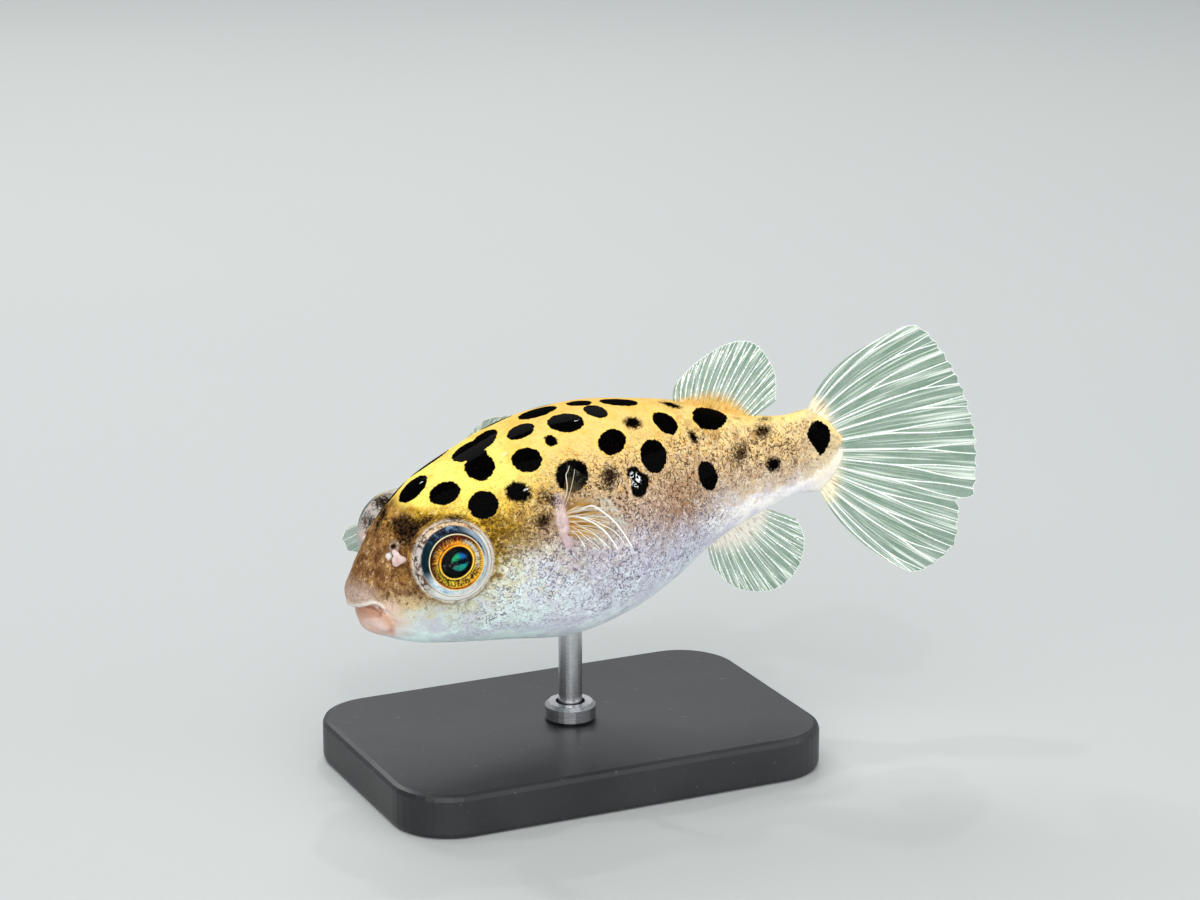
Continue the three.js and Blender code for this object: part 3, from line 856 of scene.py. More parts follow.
# Colours down the body from the back (0) to the middle of the belly (1), at the head, the middle and the tail.
HEAD_COLORS = [
    (0.00, (252, 240, 122)), (0.16, (252, 238, 116)), (0.27, (247, 221, 108)), (0.35, (210, 168, 52)),
    (0.42, (124, 92, 4)), (0.50, (96, 70, 1)), (0.58, (134, 108, 24)), (0.65, (200, 198, 164)),
    (0.73, (204, 216, 212)), (0.84, (228, 246, 246)), (1.00, (230, 255, 255)),
]
MIDDLE_COLORS = [
    (0.00, (238, 194, 108)), (0.15, (240, 204, 122)), (0.28, (236, 198, 122)), (0.36, (220, 184, 122)),
    (0.45, (188, 158, 122)), (0.55, (180, 154, 136)), (0.65, (176, 164, 164)), (0.74, (188, 192, 204)),
    (0.85, (232, 242, 248)), (1.00, (244, 252, 255)),
]
TAIL_COLORS = [
    (0.00, (250, 222, 138)), (0.20, (248, 220, 148)), (0.33, (240, 208, 150)), (0.42, (214, 182, 128)),
    (0.56, (188, 160, 126)), (0.655, (204, 184, 158)), (0.74, (248, 244, 240)), (1.00, (250, 252, 255)),
]


def skin_material():
    g = Graph("skin", Specular_IOR_Level=0.0, Subsurface_Weight=0.02, Subsurface_Scale=0.0003,
              Subsurface_Radius=(1.0, 0.45, 0.25), IOR=1.4, Coat_Weight=0.035, Coat_Roughness=0.03, Coat_IOR=1.5)
    mask, between, times = g.attribute, g.between, g.times
    at, fall = g.vector_attribute("place"), mask("fall")
    along, _, high = g.parts(at)

    def noise(*settings):
        return g.noise(at, *settings)

    broad, medium, fine = noise(0.28, 3, 0.6), noise(0.9, 4, 0.6), noise(3.2, 3, 0.6)

    # Ground colour: lemon to orange yellow above, tan to olive on the side, white to lavender below.
    down = g.plus(fall, g.plus(g.centred(medium, 0.9), g.centred(fine, 0.35)))
    down = g.math("DIVIDE", down, 3.0)
    head, middle, tail = (g.ramp(down, stops) for stops in (HEAD_COLORS, MIDDLE_COLORS, TAIL_COLORS))
    shifted = g.plus(along, g.centred(broad, 8.0))
    upper = between(fall, 1.15, 0.8)
    patches = noise(0.75, 4, 0.7, 0.3)
    behind = times(between(along, 32.0, 40.0), between(fall, 2.0, 1.5))
    color = g.coats(
        head,
        (between(shifted, 12.5, 22.5), middle),
        (between(shifted, 34.0, 42.0), tail),
        (between(broad, 0.5, 0.66), upper, 0.5, (242, 184, 74)),
        (between(noise(1.5, 4, 0.7), 0.52, 0.66), between(fall, 1.7, 1.1), 0.6, (236, 176, 70)),
        (between(noise(1.9, 4, 0.7, 0.3), 0.55, 0.68), between(fall, 1.9, 1.3), 0.6, (254, 236, 168)),
        (between(noise(1.9, 4, 0.75, 0.4), 0.60, 0.66), upper, 0.6, (226, 150, 44)),
        (between(noise(1.1, 4, 0.8, 0.5), 0.61, 0.68), between(fall, 1.2, 0.9), between(fine, 0.4, 0.6), 0.85,
         (196, 122, 34)),
        (mask("brown"), between(medium, 0.3, 0.6, 0.2, 0.9), (150, 110, 70)),
        (between(fall, 1.7, 2.1), between(noise(0.34, 3, 0.6), 0.45, 0.62), 0.5, (194, 190, 212)),
        (between(patches, 0.52, 0.62), behind, 0.6, (164, 116, 60)),
        (between(patches, 0.46, 0.38), behind, 0.7, (252, 212, 136)),
        (mask("tail_root"), 0.5, (226, 210, 170)),
    )

    # The snout: golden brown above, brown in front, paler towards the cheek, with small dark and light flecks.
    patchy, streaks = noise(0.62, 4, 0.7), g.noise(g.scaled(at, (1.0, 1.0, 0.45)), 2.6, 4, 0.7, 0.6)
    snout = g.coats(
        g.mix(between(along, 2.6, 7.5), (142, 104, 64), (186, 138, 58)),
        (between(high, 2.4, -0.2), (208, 184, 142)),
        (between(patchy, 0.40, 0.30), (226, 172, 74)),
        (between(patchy, 0.47, 0.58), between(high, -0.4, 1.8, 0.2, 0.75), (96, 60, 34)),
        (between(streaks, 0.53, 0.60), 0.8, (78, 46, 24)),
        (between(streaks, 0.43, 0.38), between(patchy, 0.58, 0.44, 0.3, 0.8), (216, 184, 140)),
    )
    color = g.mix(between(g.plus(mask("snout"), g.centred(medium, 0.5)), 0.1, 0.9), color, snout)

    # Pepper: brown specks, thickest where the yellow ends. Worm marks: short pale and dark curls on flank and belly.
    def curled(vector, scale, wide, thin, gaps, low):
        """Curls of this width, left out where another noise is low."""
        curl = g.math("ABSOLUTE", g.math("SUBTRACT", g.noise(vector, scale, 1.5, 0.5, 0.5), 0.5))
        return times(between(curl, wide, thin), between(noise(gaps, 1), low, low + 0.1))

    curls = curled(at, 2.05, 0.058, 0.022, 1.7, 0.36)
    pale_curls = curled(g.scaled(at, (1.0, -1.0, 1.0)), 1.9, 0.055, 0.02, 1.4, 0.44)
    clean = times(between(along, 37.0, 43.0), between(fall, 1.6, 2.1))
    flank = times(between(fall, 0.62, 1.15), between(fall, 2.62, 2.2, 0.06, 1.0), between(along, 5.5, 12.0),
                  between(along, 52.5, 47.0, 0.35, 1.0), g.math("SUBTRACT", 1.0, times(clean, 0.85)))
    pale = g.mix(between(along, 14.0, 22.0), (204, 166, 60), (232, 212, 178))
    color = g.coats(
        color,
        (between(noise(4.4, 2, 0.55), 0.60, 0.68), between(fall, 0.45, 1.2, 0.10, 0.95),
         between(fall, 2.3, 1.8, 0.12, 1.0), between(mask("lips"), 0.6, 0.2),
         g.mix(between(fall, 1.6, 2.1), (70, 44, 22), (104, 98, 104))),
        (pale_curls, flank, between(fall, 1.6, 2.2, 0.6, 0.42),
         g.mix(between(fall, 1.5, 2.1), pale, (244, 248, 250))),
        (curls, flank, between(broad, 0.3, 0.6, 0.55, 0.95),
         g.mix(between(fall, 1.5, 2.15), (72, 45, 22), (104, 99, 115))),
        # Lips: the upper greyish pink with a pale edge, the lower pink, painted shade on the lower lip under the
        # upper lip's edge, and flesh colour in the slit between them.
        (mask("lip_top"), 0.8, g.mix(between(fine, 0.3, 0.7), (170, 144, 130), (206, 184, 174))),
        (mask("lips"), 0.92, g.mix(between(medium, 0.3, 0.7), (220, 182, 166), (216, 196, 190))),
        # Painted shade under the upper lip's edge.
        (mask("lip_shade"), 0.62, (200, 140, 96)),
        (mask("lip_edge"), 0.85, (232, 228, 220)),
        (mask("mouth"), 0.85, (150, 78, 52)),
    )

    # The skin that rings each eye, mottled brown and silver, with a painted highlight along the lip of each socket,
    # and the paler outer slope of the far eye's ring.
    mottle = noise(1.2, 4, 0.7)
    ring = g.mix(between(mottle, 0.47, 0.58), (204, 186, 170), (92, 72, 62))
    ring = g.mix(0.0741, ring, (234, 236, 230))
    # Flesh at the roots of the pectoral fins.
    flesh = g.mix(between(medium, 0.35, 0.6), (224, 204, 196), (198, 174, 178))
    flesh = g.mix(between(fine, 0.6, 0.72), flesh, (176, 140, 128))
    edge, soft = mask("spot_edge"), mask("spot_soft")
    color = g.coats(
        color,
        (mask("orbit"), between(mottle, 0.25, 0.55, 0.55, 0.9), ring),
        # Painted highlight: the pale ring along the lip of each eye's socket.
        (mask("rim"), 0.75, (222, 218, 206)),
        (mask("far_orbit"), 0.45, (232, 238, 242)),
        # Painted shade: dark brown in the hollow behind each pectoral fin's root.
        (mask("painted_hollow_shade"), 0.85, (64, 40, 20)),
        (mask("root"), 0.92, flesh),
        # Nostrils: painted shade, near black, in the pit, a pale rim round it, and a white bump beside it.
        (mask("nostril"), 0.6, (214, 196, 186)),
        # Painted shade: near black in the nostril's pit.
        (mask("shaded_pit"), (24, 12, 10)),
        (mask("tubercle"), 0.95, (240, 236, 232)),
        # A warm halo rings the sharp-edged spots on the yellow.
        (between(edge, 0.6, 0.0), times(upper, between(soft, 0.3, 0.1)), 0.35, (255, 214, 92)),
    )

    # Black spots; the soft ones are browner and break up into specks at their edges, and one on the left flank
    # carries a painted glint.
    wobble = g.plus(g.centred(noise(1.9, 3, 0.65), 0.5), times(g.centred(noise(4.6, 3, 0.65), 3.4), soft))
    inside = between(g.plus(edge, wobble), times(soft, 0.7), times(soft, -0.7))
    black = g.coats(
        g.mix(between(fine, 0.45, 0.7), (1, 1, 1), (8, 5, 4)),
        (between(soft, 0.35, 0.7), g.mix(between(fine, 0.42, 0.62), (14, 9, 6), (64, 44, 26))),
        # Painted glint: pale curls in one black spot of the left flank.
        (between(curls, 0.3, 0.8), between(mask("painted_glint"), 0.25, 0.6), (236, 238, 240)),
    )

    grain = noise(6.5, 3, 0.6)
    pores = g.node("ShaderNodeTexVoronoi", {"Vector": at, "Scale": 3.4}, "Distance")
    normal = g.bump(g.plus(grain, times(pores, 0.7)), 0.00007, 0.6)
    return g.finish(Base_Color=g.mix(inside, color, black), Normal=g.bump(medium, 0.0003, 0.3, Normal=normal),
                    Coat_Normal=g.bump(noise(0.8, 2, 0.5), 0.000012), Roughness=g.plus(0.34, times(grain, 0.22)))


SKIN_STEP, QUICK_STEP = 0.215, 0.42
SKIN_BOX = (-1.0, -12.0, -11.0), (54.0, 12.0, 14.0)


def make_skin():
    step = SKIN_STEP
    points, quads = level_mesh(skin_field, *SKIN_BOX, step, body_field)
    edge, soft = spot_fields(points)
    attributes = {"place": points, "spot_edge": edge, "spot_soft": soft, **zone_masks(points)}
    skin = make_mesh("skin", place(points), [quads], skin_material(), attributes)
    unwrap(skin, points)
    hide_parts("head", "lower_jaw", "trunk", "tail")


make_skin()


# ---------- eyes ----------
IRIS_RADIUS = 2.65
CORNEA_RADIUS = 3.32
CORNEA_THICKNESS = 0.09
EYE_SIDES = 120
PUPIL_STRETCH = 0.065
PUPIL_TURN = math.radians(25)
# radius, height over the eye's widest section
EYE_SECTION = [(0, 2.50), (0.8, 2.43), (1.3, 2.28), (1.5, 2.16), (1.54, 2.08), (1.62, 2.18), (1.72, 2.18),
               (1.82, 2.12), (2.3, 2.06), (2.55, 2.01), (2.62, 2.07), (2.69, 2.09), (2.78, 1.97), (3.0, 1.80),
               (3.2, 1.66), (3.32, 1.61)]


def eye_height(radius):
    at, height = np.array(EYE_SECTION).T
    cap = EYE_DEPTH * np.sqrt(np.maximum(0, 1 - (radius / EYE_RADIUS) ** 2))
    return np.where(radius < at[-1], np.interp(radius, at, height), cap - 0.005)


def eye_place(side, radius, turn, height):
    middle, (tailward, out, up) = eye_axes(side)
    stretch = 1 + PUPIL_STRETCH * np.cos(2 * (turn - PUPIL_TURN)) * ramp(radius, IRIS_RADIUS, 2.0)
    r = radius * stretch
    return (middle + (r * np.cos(turn))[..., None] * tailward + (r * np.sin(turn))[..., None] * up
            + height[..., None] * out)


def dome(side, radii, height, ends, end_discs):
    """Rings about the line of sight, from the outermost to the middle, closed at both ends.

    Gives points, faces, and places on the eye's disc; the ends have heights, and their own places on the disc.
    """
    turn = np.linspace(0, 2 * np.pi, EYE_SIDES, endpoint=False)
    if side == RIGHT:
        turn = turn[::-1]
    radius, turns = np.meshgrid(radii, turn, indexing="ij")
    heights = np.broadcast_to(height[:, None], radius.shape)
    disc = np.stack([radius * np.cos(turns), radius * np.sin(turns), heights], -1).reshape(-1, 3)
    points = np.concatenate([eye_place(side, radius, turns, heights).reshape(-1, 3),
                             eye_place(side, np.zeros(2), np.zeros(2), np.array(ends))])
    faces = [grid_faces(len(radii), EYE_SIDES, closed=True), end_fans(len(radii), EYE_SIDES)]
    return place(points), faces, np.concatenate([disc, end_discs])


def eye_material(name, far):
    """far darkens the edge of the ball that is seen behind the forehead."""
    g = Graph(name, IOR=1.4, Specular_IOR_Level=0.04)
    between, times = g.between, g.times
    disc = g.vector_attribute("disc")
    right, high, _ = g.parts(disc)
    radius = g.math("SQRT", g.plus(times(right, right), times(high, high)))
    east, north = (g.math("DIVIDE", v, g.math("MAXIMUM", radius, 0.01)) for v in (right, high))

    def towards(degrees, low=0.2, high=0.9):
        """1 on the side of the eye that lies this way, counted from the tail's side upwards."""
        c, s = math.cos(math.radians(degrees)), math.sin(math.radians(degrees))
        return between(g.plus(times(east, c), times(north, s)), low, high)

    def ring(inner, outer, soft=0.05):
        return times(between(radius, inner - soft, inner + soft), between(radius, outer + soft, outer - soft))

    def radial(around, outwards, detail, roughness):
        """Noise drawn out along the radius."""
        at = g.node("ShaderNodeCombineXYZ", {0: times(east, around), 1: times(north, around),
                                             2: times(radius, outwards)})
        return g.noise(at, 1.0, detail, roughness)

    rays, fibres = radial(11.0, 1.6, 3, 0.6), radial(30.0, 2.2, 2, 0.5)
    blotch, fleck = g.noise(disc, 1.35, 4, 0.7), g.noise(disc, 5.5, 2, 0.6)
    frayed = g.plus(radius, times(rays, 0.9))

    # Iris: dark red above with orange rays, olive yellow in front, dark-flecked gold below, silver behind.
    iris = g.coats(
        g.mix(between(fleck, 0.35, 0.65), (196, 132, 30), (140, 90, 24)),
        (towards(205, 0.25, 0.85), between(rays, 0.25, 0.6, 0.7, 1.0), (186, 166, 26)),
        (towards(-100, 0.1, 0.7), between(fleck, 0.46, 0.52), (40, 24, 8)),
        (towards(-100, 0.1, 0.7), between(fleck, 0.42, 0.36), (255, 214, 70)),
        (towards(215, 0.5, 0.9), between(fleck, 0.56, 0.62), (64, 56, 14)),
        (towards(95, 0.0, 0.7), between(frayed, 2.62, 2.28), (250, 150, 22)),
        (towards(115, -0.35, 0.45), between(frayed, 2.34, 2.66), (112, 26, 8)),
        (towards(150, -0.2, 0.6), ring(2.3, 2.7, 0.12), (52, 12, 6)),
        (towards(14, 0.62, 0.9), ring(1.86, 2.24, 0.10),
         g.mix(between(fleck, 0.4, 0.6), (206, 212, 210), (126, 136, 134))),
        (towards(10, 0.5, 0.9), ring(2.32, 2.62), (92, 38, 12)),
        (towards(-48, 0.1, 0.75), ring(2.36, 2.62, 0.06), (252, 184, 44)),
        (towards(-110, 0.3, 0.9), ring(2.44, 2.62), (176, 84, 10)),
        (ring(1.72, 1.81, 0.035), towards(200, -0.95, -0.2), (46, 16, 4)),
        (ring(1.85, 1.91, 0.03), towards(-20, 0.0, 0.6), (238, 190, 70)),
        (ring(1.56, 1.67, 0.03), g.mix(towards(120, -0.2, 0.8), (255, 216, 84), (255, 186, 40))),
        (ring(1.76, 2.58, 0.06), between(fibres, 0.52, 0.62, 0.0, 0.8), (44, 16, 4)),
        (ring(1.76, 2.4, 0.06), between(fibres, 0.44, 0.36, 0.0, 0.65), (255, 210, 84)),
    )

    # Pupil: black, with a painted reflection in green and blue seen in the lens, parted by a dark band.
    local = g.node("ShaderNodeVectorMath", {0: disc, 1: (0.20, -0.02, 0.0)}, operation="SUBTRACT")
    spread = g.node("ShaderNodeVectorMath", {0: g.scaled(local, (1.0, 0.92, 0.0))}, "Value", operation="LENGTH")
    aside, above, _ = g.parts(local)
    level = g.plus(above, g.centred(g.noise(disc, 2.6, 3), 0.5))
    reflection_patch = times(g.math("MAXIMUM", between(level, 0.08, 0.34), between(level, -0.16, -0.40)),
                between(spread, 0.90, 0.66), between(g.noise(disc, 3.4, 3, 0.6), 0.34, 0.56, 0.35, 1.0))
    pupil_reflection = g.mix(between(aside, -0.1, 0.35), (34, 170, 104), (24, 92, 168))
    pupil_reflection = g.mix(between(above, -0.1, -0.45), pupil_reflection, (30, 150, 128))
    pupil = g.mix(reflection_patch, g.mix(between(spread, 1.0, 0.5), (2, 3, 4), (4, 14, 28)), pupil_reflection)

    # Round the iris: slate with painted steel-blue highlights above and in front, pale below.
    slate_with_highlights = g.mix(between(g.noise(disc, 1.3, 3, 0.6), 0.50, 0.66), (20, 30, 46), (96, 128, 158))
    slate_with_highlights = g.mix(towards(172, 0.4, 0.9), slate_with_highlights, (8, 34, 44))
    pale = g.mix(between(blotch, 0.4, 0.6), (232, 238, 242), (168, 196, 212))
    band = g.coats(
        g.mix(towards(-82, -0.15, 0.4), slate_with_highlights, pale),
        (towards(5, 0.35, 0.85), between(radius, 2.8, 3.1), (158, 174, 190)),
        (ring(2.98, 3.06, 0.03), towards(-40, 0.2, 0.8), (246, 214, 158)),
    )

    # The outer ring: mottled brown and silver above, grey-white in front, white below.
    rim = g.coats(
        g.mix(between(blotch, 0.47, 0.55), (226, 206, 180), (84, 62, 50)),
        (towards(70, 0.3, 0.9), between(fleck, 0.45, 0.6), (206, 158, 92)),
        (towards(180, 0.3, 0.9), between(blotch, 0.56, 0.48), (200, 190, 186)),
        (towards(165, 0.4, 0.95), between(radius, 3.5, 3.36), between(blotch, 0.4, 0.5), (84, 78, 80)),
        (towards(-55, -0.25, 0.25), (240, 242, 238)),
        (ring(3.28, 3.36, 0.03), towards(-95, -0.1, 0.5), (186, 150, 92)),
    )
    if far:
        speckled = g.mix(between(fleck, 0.42, 0.54), (50, 58, 60), (150, 152, 138))
        rim = g.coats(
            rim,
            (between(radius, 3.05, 3.35), towards(115, -0.5, 0.1), speckled),
            (between(radius, 3.3, 3.6), towards(88, 0.9, 0.99), (232, 206, 120)),
        )
    edge = g.math("SUBTRACT", radius, times(north, 0.16))
    color = g.coats(
        pupil,
        (between(radius, 1.49, 1.54), iris),
        (between(radius, 2.60, 2.64), (248, 226, 176)),
        (between(radius, 2.69, 2.76), g.mix(between(edge, 3.24, 3.40), band, rim)),
    )
    return g.finish(Base_Color=color, Normal=g.bump(g.plus(rays, times(fleck, 0.5)), 0.00006, 0.5),
                    Roughness=between(radius, 3.0, 3.4, 0.28, 0.36))


def cornea_material():
    g = Graph("cornea", IOR=1.10, Transmission_Weight=1.0)
    haze = g.noise(g.vector_attribute("disc"), 1.2, 3)
    return g.finish(Base_Color=g.mix(g.between(haze, 0.3, 0.7), (255, 255, 255), (244, 250, 252)),
                    Roughness=g.between(haze, 0.3, 0.7, 0.015, 0.05), Normal=g.bump(haze, 0.00004, 0.3))


def make_eyes():
    clear = cornea_material()
    inner = np.unique(np.concatenate([np.linspace(0.04, EYE_RADIUS, 90), [r for r, _ in EYE_SECTION[1:]]]))[::-1]
    back = np.linspace(0.4, 1.0, 5)[:-1] * EYE_RADIUS
    globe = np.concatenate([back, inner])
    globe_height = np.concatenate([-0.5 * EYE_DEPTH * np.sqrt(1 - (back / EYE_RADIUS) ** 2), eye_height(inner)])
    globe_ends = globe_height[0], EYE_SECTION[0][1]
    outer = np.linspace(CORNEA_RADIUS, 0.05, 40)
    cap = EYE_DEPTH * np.sqrt(1 - (outer / EYE_RADIUS) ** 2)
    shell = np.concatenate([outer[::-1], outer])
    shell_height = np.concatenate([cap[::-1] - CORNEA_THICKNESS, cap])
    for side, word in SIDES.items():
        points, faces, disc = dome(side, globe, globe_height, globe_ends, [(0, 0, z) for z in globe_ends])
        iris = eye_material("eye_" + word, side == RIGHT)
        eye = make_mesh("eye_" + word + "_globe", points, faces, iris, {"disc": disc})
        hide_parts("eye_" + word)
        points, faces, disc = dome(side, shell, shell_height, (EYE_DEPTH - CORNEA_THICKNESS, EYE_DEPTH),
                                   np.zeros((2, 3)))
        make_mesh("cornea_" + word, points, faces, clear, {"disc": disc})


make_eyes()


# ---------- nasal flaps ----------
FLAP_SIZE, FLAP_BOX, FLAP_STEP = 1.2, 1.9, 0.07
# Middle and radii of a flap's lobes, towards the tail, up the skin and out of it.
FLAP_LOBES = [
    ((0.0, -0.22, 0.30), (0.50, 0.42, 0.20)),
    ((-0.36, -0.44, 0.28), (0.26, 0.25, 0.16)),
    ((0.34, -0.34, 0.31), (0.26, 0.28, 0.16)),
    ((0.15, 0.28, 0.34), (0.25, 0.42, 0.14)),
    ((0.0, 0.0, 0.05), (0.20, 0.20, 0.30)),
]


def flap_axes(side):
    root = surface(FLAP_ALONG, -side * FLAP_ANGLE)
    tail = unit(surface(FLAP_ALONG + 0.1, -side * FLAP_ANGLE) - root)
    up = unit(surface(FLAP_ALONG, -side * (FLAP_ANGLE - 2)) - root)
    out = unit(np.cross(tail, up))
    return root, np.stack([tail, up, out * np.sign(out[1]) * side])


def flap_material():
    g = Graph("nasal_flap", Subsurface_Weight=0.15, Subsurface_Scale=0.0006, Coat_Weight=0.3, Coat_Roughness=0.1)
    at = g.vector_attribute("place")
    medium, fine = g.noise(at, 1.5, 3), g.noise(at, 6.0, 3)
    color = g.mix(g.between(medium, 0.4, 0.65), (222, 198, 192), (198, 166, 158))
    color = g.mix(g.between(fine, 0.55, 0.75), color, (236, 220, 216))
    return g.finish(Base_Color=color, Normal=g.bump(fine, 0.00004, 0.6),
                    Roughness=g.between(fine, 0.2, 0.8, 0.25, 0.45))


def make_flaps():
    material = flap_material()
    for side, word in SIDES.items():
        root, axes = flap_axes(side)

        def field(p, root=root, axes=axes):
            local = (p - root) @ axes.T / FLAP_SIZE
            f = np.full(len(p), FAR)
            for middle, radii in FLAP_LOBES:
                f = smooth_union(f, ellipsoid(local, radii, middle), 0.12)
            return f * FLAP_SIZE

        points, quads = level_mesh(field, root - FLAP_BOX, root + FLAP_BOX, FLAP_STEP)
        make_mesh("nasal_flap_" + word, place(points), [quads], material, {"place": points})


make_flaps()


# ---------- fins ----------
CURVE_SAMPLES = 200


def smooth_curve(points):
    """A centripetal curve through a few points, as a function of the share of its length."""
    p = np.asarray(points, float)
    p = np.concatenate([[2 * p[0] - p[1]], p, [2 * p[-1] - p[-2]]])
    step = np.linalg.norm(np.diff(p, axis=0), axis=1) ** 0.5
    dense = []
    for i in range(1, len(p) - 2):
        d0, d1, d2 = step[i - 1], step[i], step[i + 1]
        m1 = ((p[i] - p[i - 1]) / d0 - (p[i + 1] - p[i - 1]) / (d0 + d1) + (p[i + 1] - p[i]) / d1) * d1
        m2 = ((p[i + 1] - p[i]) / d1 - (p[i + 2] - p[i]) / (d1 + d2) + (p[i + 2] - p[i + 1]) / d2) * d1
        t = np.linspace(0, 1, CURVE_SAMPLES)[:, None]
        a, b = 2 * p[i] - 2 * p[i + 1] + m1 + m2, -3 * p[i] + 3 * p[i + 1] - 2 * m1 - m2
        dense.append(p[i] + t * (m1 + t * (b + t * a)))
    dense = np.concatenate(dense)
    reach = np.concatenate([[0], np.cumsum(np.linalg.norm(np.diff(dense, axis=0), axis=1))])
    return lambda t: np.stack([np.interp(np.asarray(t) * reach[-1], reach, dense[:, k]) for k in range(3)], -1)


def in_middle(points):
    return [(x, 0, z) for x, z in points]


class Fin:
    """A fan of rays from a root line to a free margin; t runs across it and r out along a ray, 0 to 1."""

    def __init__(self, name, root, margin, bow, bent, ripple):
        self.name, self.bow, self.bent, self.ripple = name, bow, bent, ripple
        self.root, self.margin = smooth_curve(root), smooth_curve(margin)

    def flat(self, t, r):
        t, r = np.broadcast_arrays(np.asarray(t, float), np.asarray(r, float))
        root, margin = self.root(t), self.margin(t)
        p = root + (margin - root) * r[..., None] + self.bow(t) * (4 * r * (1 - r))[..., None]
        return bend(p) if self.bent else p

    def normal(self, t, r):
        h = 2e-3
        t0, r0 = np.minimum(t, 1 - h), np.minimum(r, 1 - h)
        across = self.flat(t0 + h, r0) - self.flat(t0, r0)
        outward = self.flat(t0, r0 + h) - self.flat(t0, r0)
        return unit(np.cross(across, outward))

    def at(self, t, r, off=0.0):
        """A point of the fin, this far off its middle surface, with the fin's slight ripple."""
        t, r = np.broadcast_arrays(np.asarray(t, float), np.asarray(r, float))
        wave = self.ripple * r * np.sin(2 * np.pi * (3.1 * t + 0.6 * r)) * np.cos(2.2 * t + 1.7)
        return self.flat(t, r) + (wave + off)[..., None] * self.normal(t, r)


def blend_vector(a, b):
    a, b = np.asarray(a, float), np.asarray(b, float)
    return lambda t: a + (b - a) * np.asarray(t)[..., None]


dorsal = Fin(
    "dorsal_fin",
    in_middle([(37.2, 8.6), (43.6, 5.2)]),
    in_middle([(37.8, 11.6), (39.9, 13.0), (43.9, 14.4), (46.4, 13.7), (47.9, 10.2), (47.5, 7.3)]),
    blend_vector((-0.3, 0, 0.3), (0, 0, 0)), True, 0.12,
)
anal = Fin(
    "anal_fin",
    in_middle([(38.1, -5.0), (43.8, -3.4)]),
    in_middle([(38.4, -9.2), (40.0, -11.5), (43.9, -13.0), (47.0, -11.2), (48.1, -8.1), (47.6, -5.7)]),
    blend_vector((-0.2, 0, -0.3), (0, 0, 0)), True, 0.12,
)
caudal = Fin(
    "caudal_fin",
    in_middle([(50.2, 5.0), (50.2, -2.6)]),
    in_middle([(58.6, 11.4), (62.6, 12.3), (65.2, 8.7), (66.9, 2.6), (67.0, -3.2), (65.3, -9.0), (62.4, -13.0),
               (59.0, -14.3), (56.0, -12.2)]),
    blend_vector((-0.8, 0, 1.0), (-0.6, 0, -0.6)), True, 0.16,
)
left_pectoral = Fin(
    "pectoral_fin_left",
    [(20.4, -8.6, 6.5), (19.8, -9.1, 3.3)],
    [(20.5, -11.5, 11.4), (22.2, -14.4, 9.3), (23.3, -16.6, 5.9), (23.7, -16.4, 3.1), (22.0, -15.4, 3.0),
     (19.9, -13.2, 3.1)],
    blend_vector((0, -0.6, 0.8), (0, -0.6, 0.8)), False, 0.1,
)
right_pectoral = Fin(
    "pectoral_fin_right",
    [(19.6, 8.6, 6.5), (19.0, 9.1, 3.3)],
    [(23.9, 11.2, 9.4), (21.7, 12.0, 9.4), (19.3, 13.4, 7.3), (12.4, 14.4, 2.6), (4.8, 13.2, 2.2), (4.6, 12.8, 0.4),
     (11.0, 12.2, -1.9)],
    blend_vector((0, 0.8, 0), (0, 0.8, 0)), False, 0.1,
)


def no_notch(t):
    return 0.0 * t


def caudal_notch(t):
    """The tail fin's margin is nicked between two rays, low on the rear edge."""
    return 0.085 * np.exp(-((t - 0.655) / 0.012) ** 2) + 0.05 * ramp(t, 0.655, 0.67) * ramp(t, 0.78, 0.69)


FIN_REACH = 0.996  # share of the way to the margin that the web and the line along it reach
RAY_REACH = 0.988
SCALLOP = 0.014
WEB_ROWS, WEB_COLUMNS = 48, 160


def free_edge(t, tips, notch):
    """How far out the web reaches, drawn in a little between the tips of the rays."""
    return FIN_REACH - SCALLOP * np.abs(np.sin(np.pi * t * (tips - 1))) - notch(t)


def membrane(fin, tips, notch, material):
    """The thin web of a fin."""
    rows, columns = WEB_ROWS, WEB_COLUMNS
    t = np.linspace(0, 1, columns)
    r = np.linspace(0, 1, rows)[:, None] * free_edge(t, tips, notch)[None, :]
    t = np.broadcast_to(t, r.shape)
    half = 0.05 - 0.025 * r
    points = np.concatenate([fin.at(t, r, half).reshape(-1, 3), fin.at(t, r, -half).reshape(-1, 3)])
    n = rows * columns
    front = grid_faces(rows, columns)
    around = np.concatenate([
        np.arange(columns), np.arange(1, rows) * columns + columns - 1,
        (rows - 1) * columns + np.arange(columns - 2, -1, -1), np.arange(rows - 2, 0, -1) * columns,
    ])
    following = np.roll(around, -1)
    sides = np.stack([around, around + n, following + n, following], -1)
    fan = np.stack([t * tips, r, np.zeros_like(r)], -1).reshape(-1, 3)
    web = make_mesh(fin.name + "_web", place(points, bent=False), [front, front[:, ::-1] + n, sides], material,
                    {"fan": np.concatenate([fan, fan]), "reach": np.tile(r.ravel(), 2)})
    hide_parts(fin.name)


def ray_tube(path, radius, r):
    """The tube of a ray, and how far out each of its points lies."""
    return tube(path, radius), np.concatenate([np.repeat(r, RAY_SIDES), r[[0, -1]]])


RAY_STEP = 0.11
WAVER = 0.0022
JOINT_RISE, BEAD_RISE = 0.16, 0.05


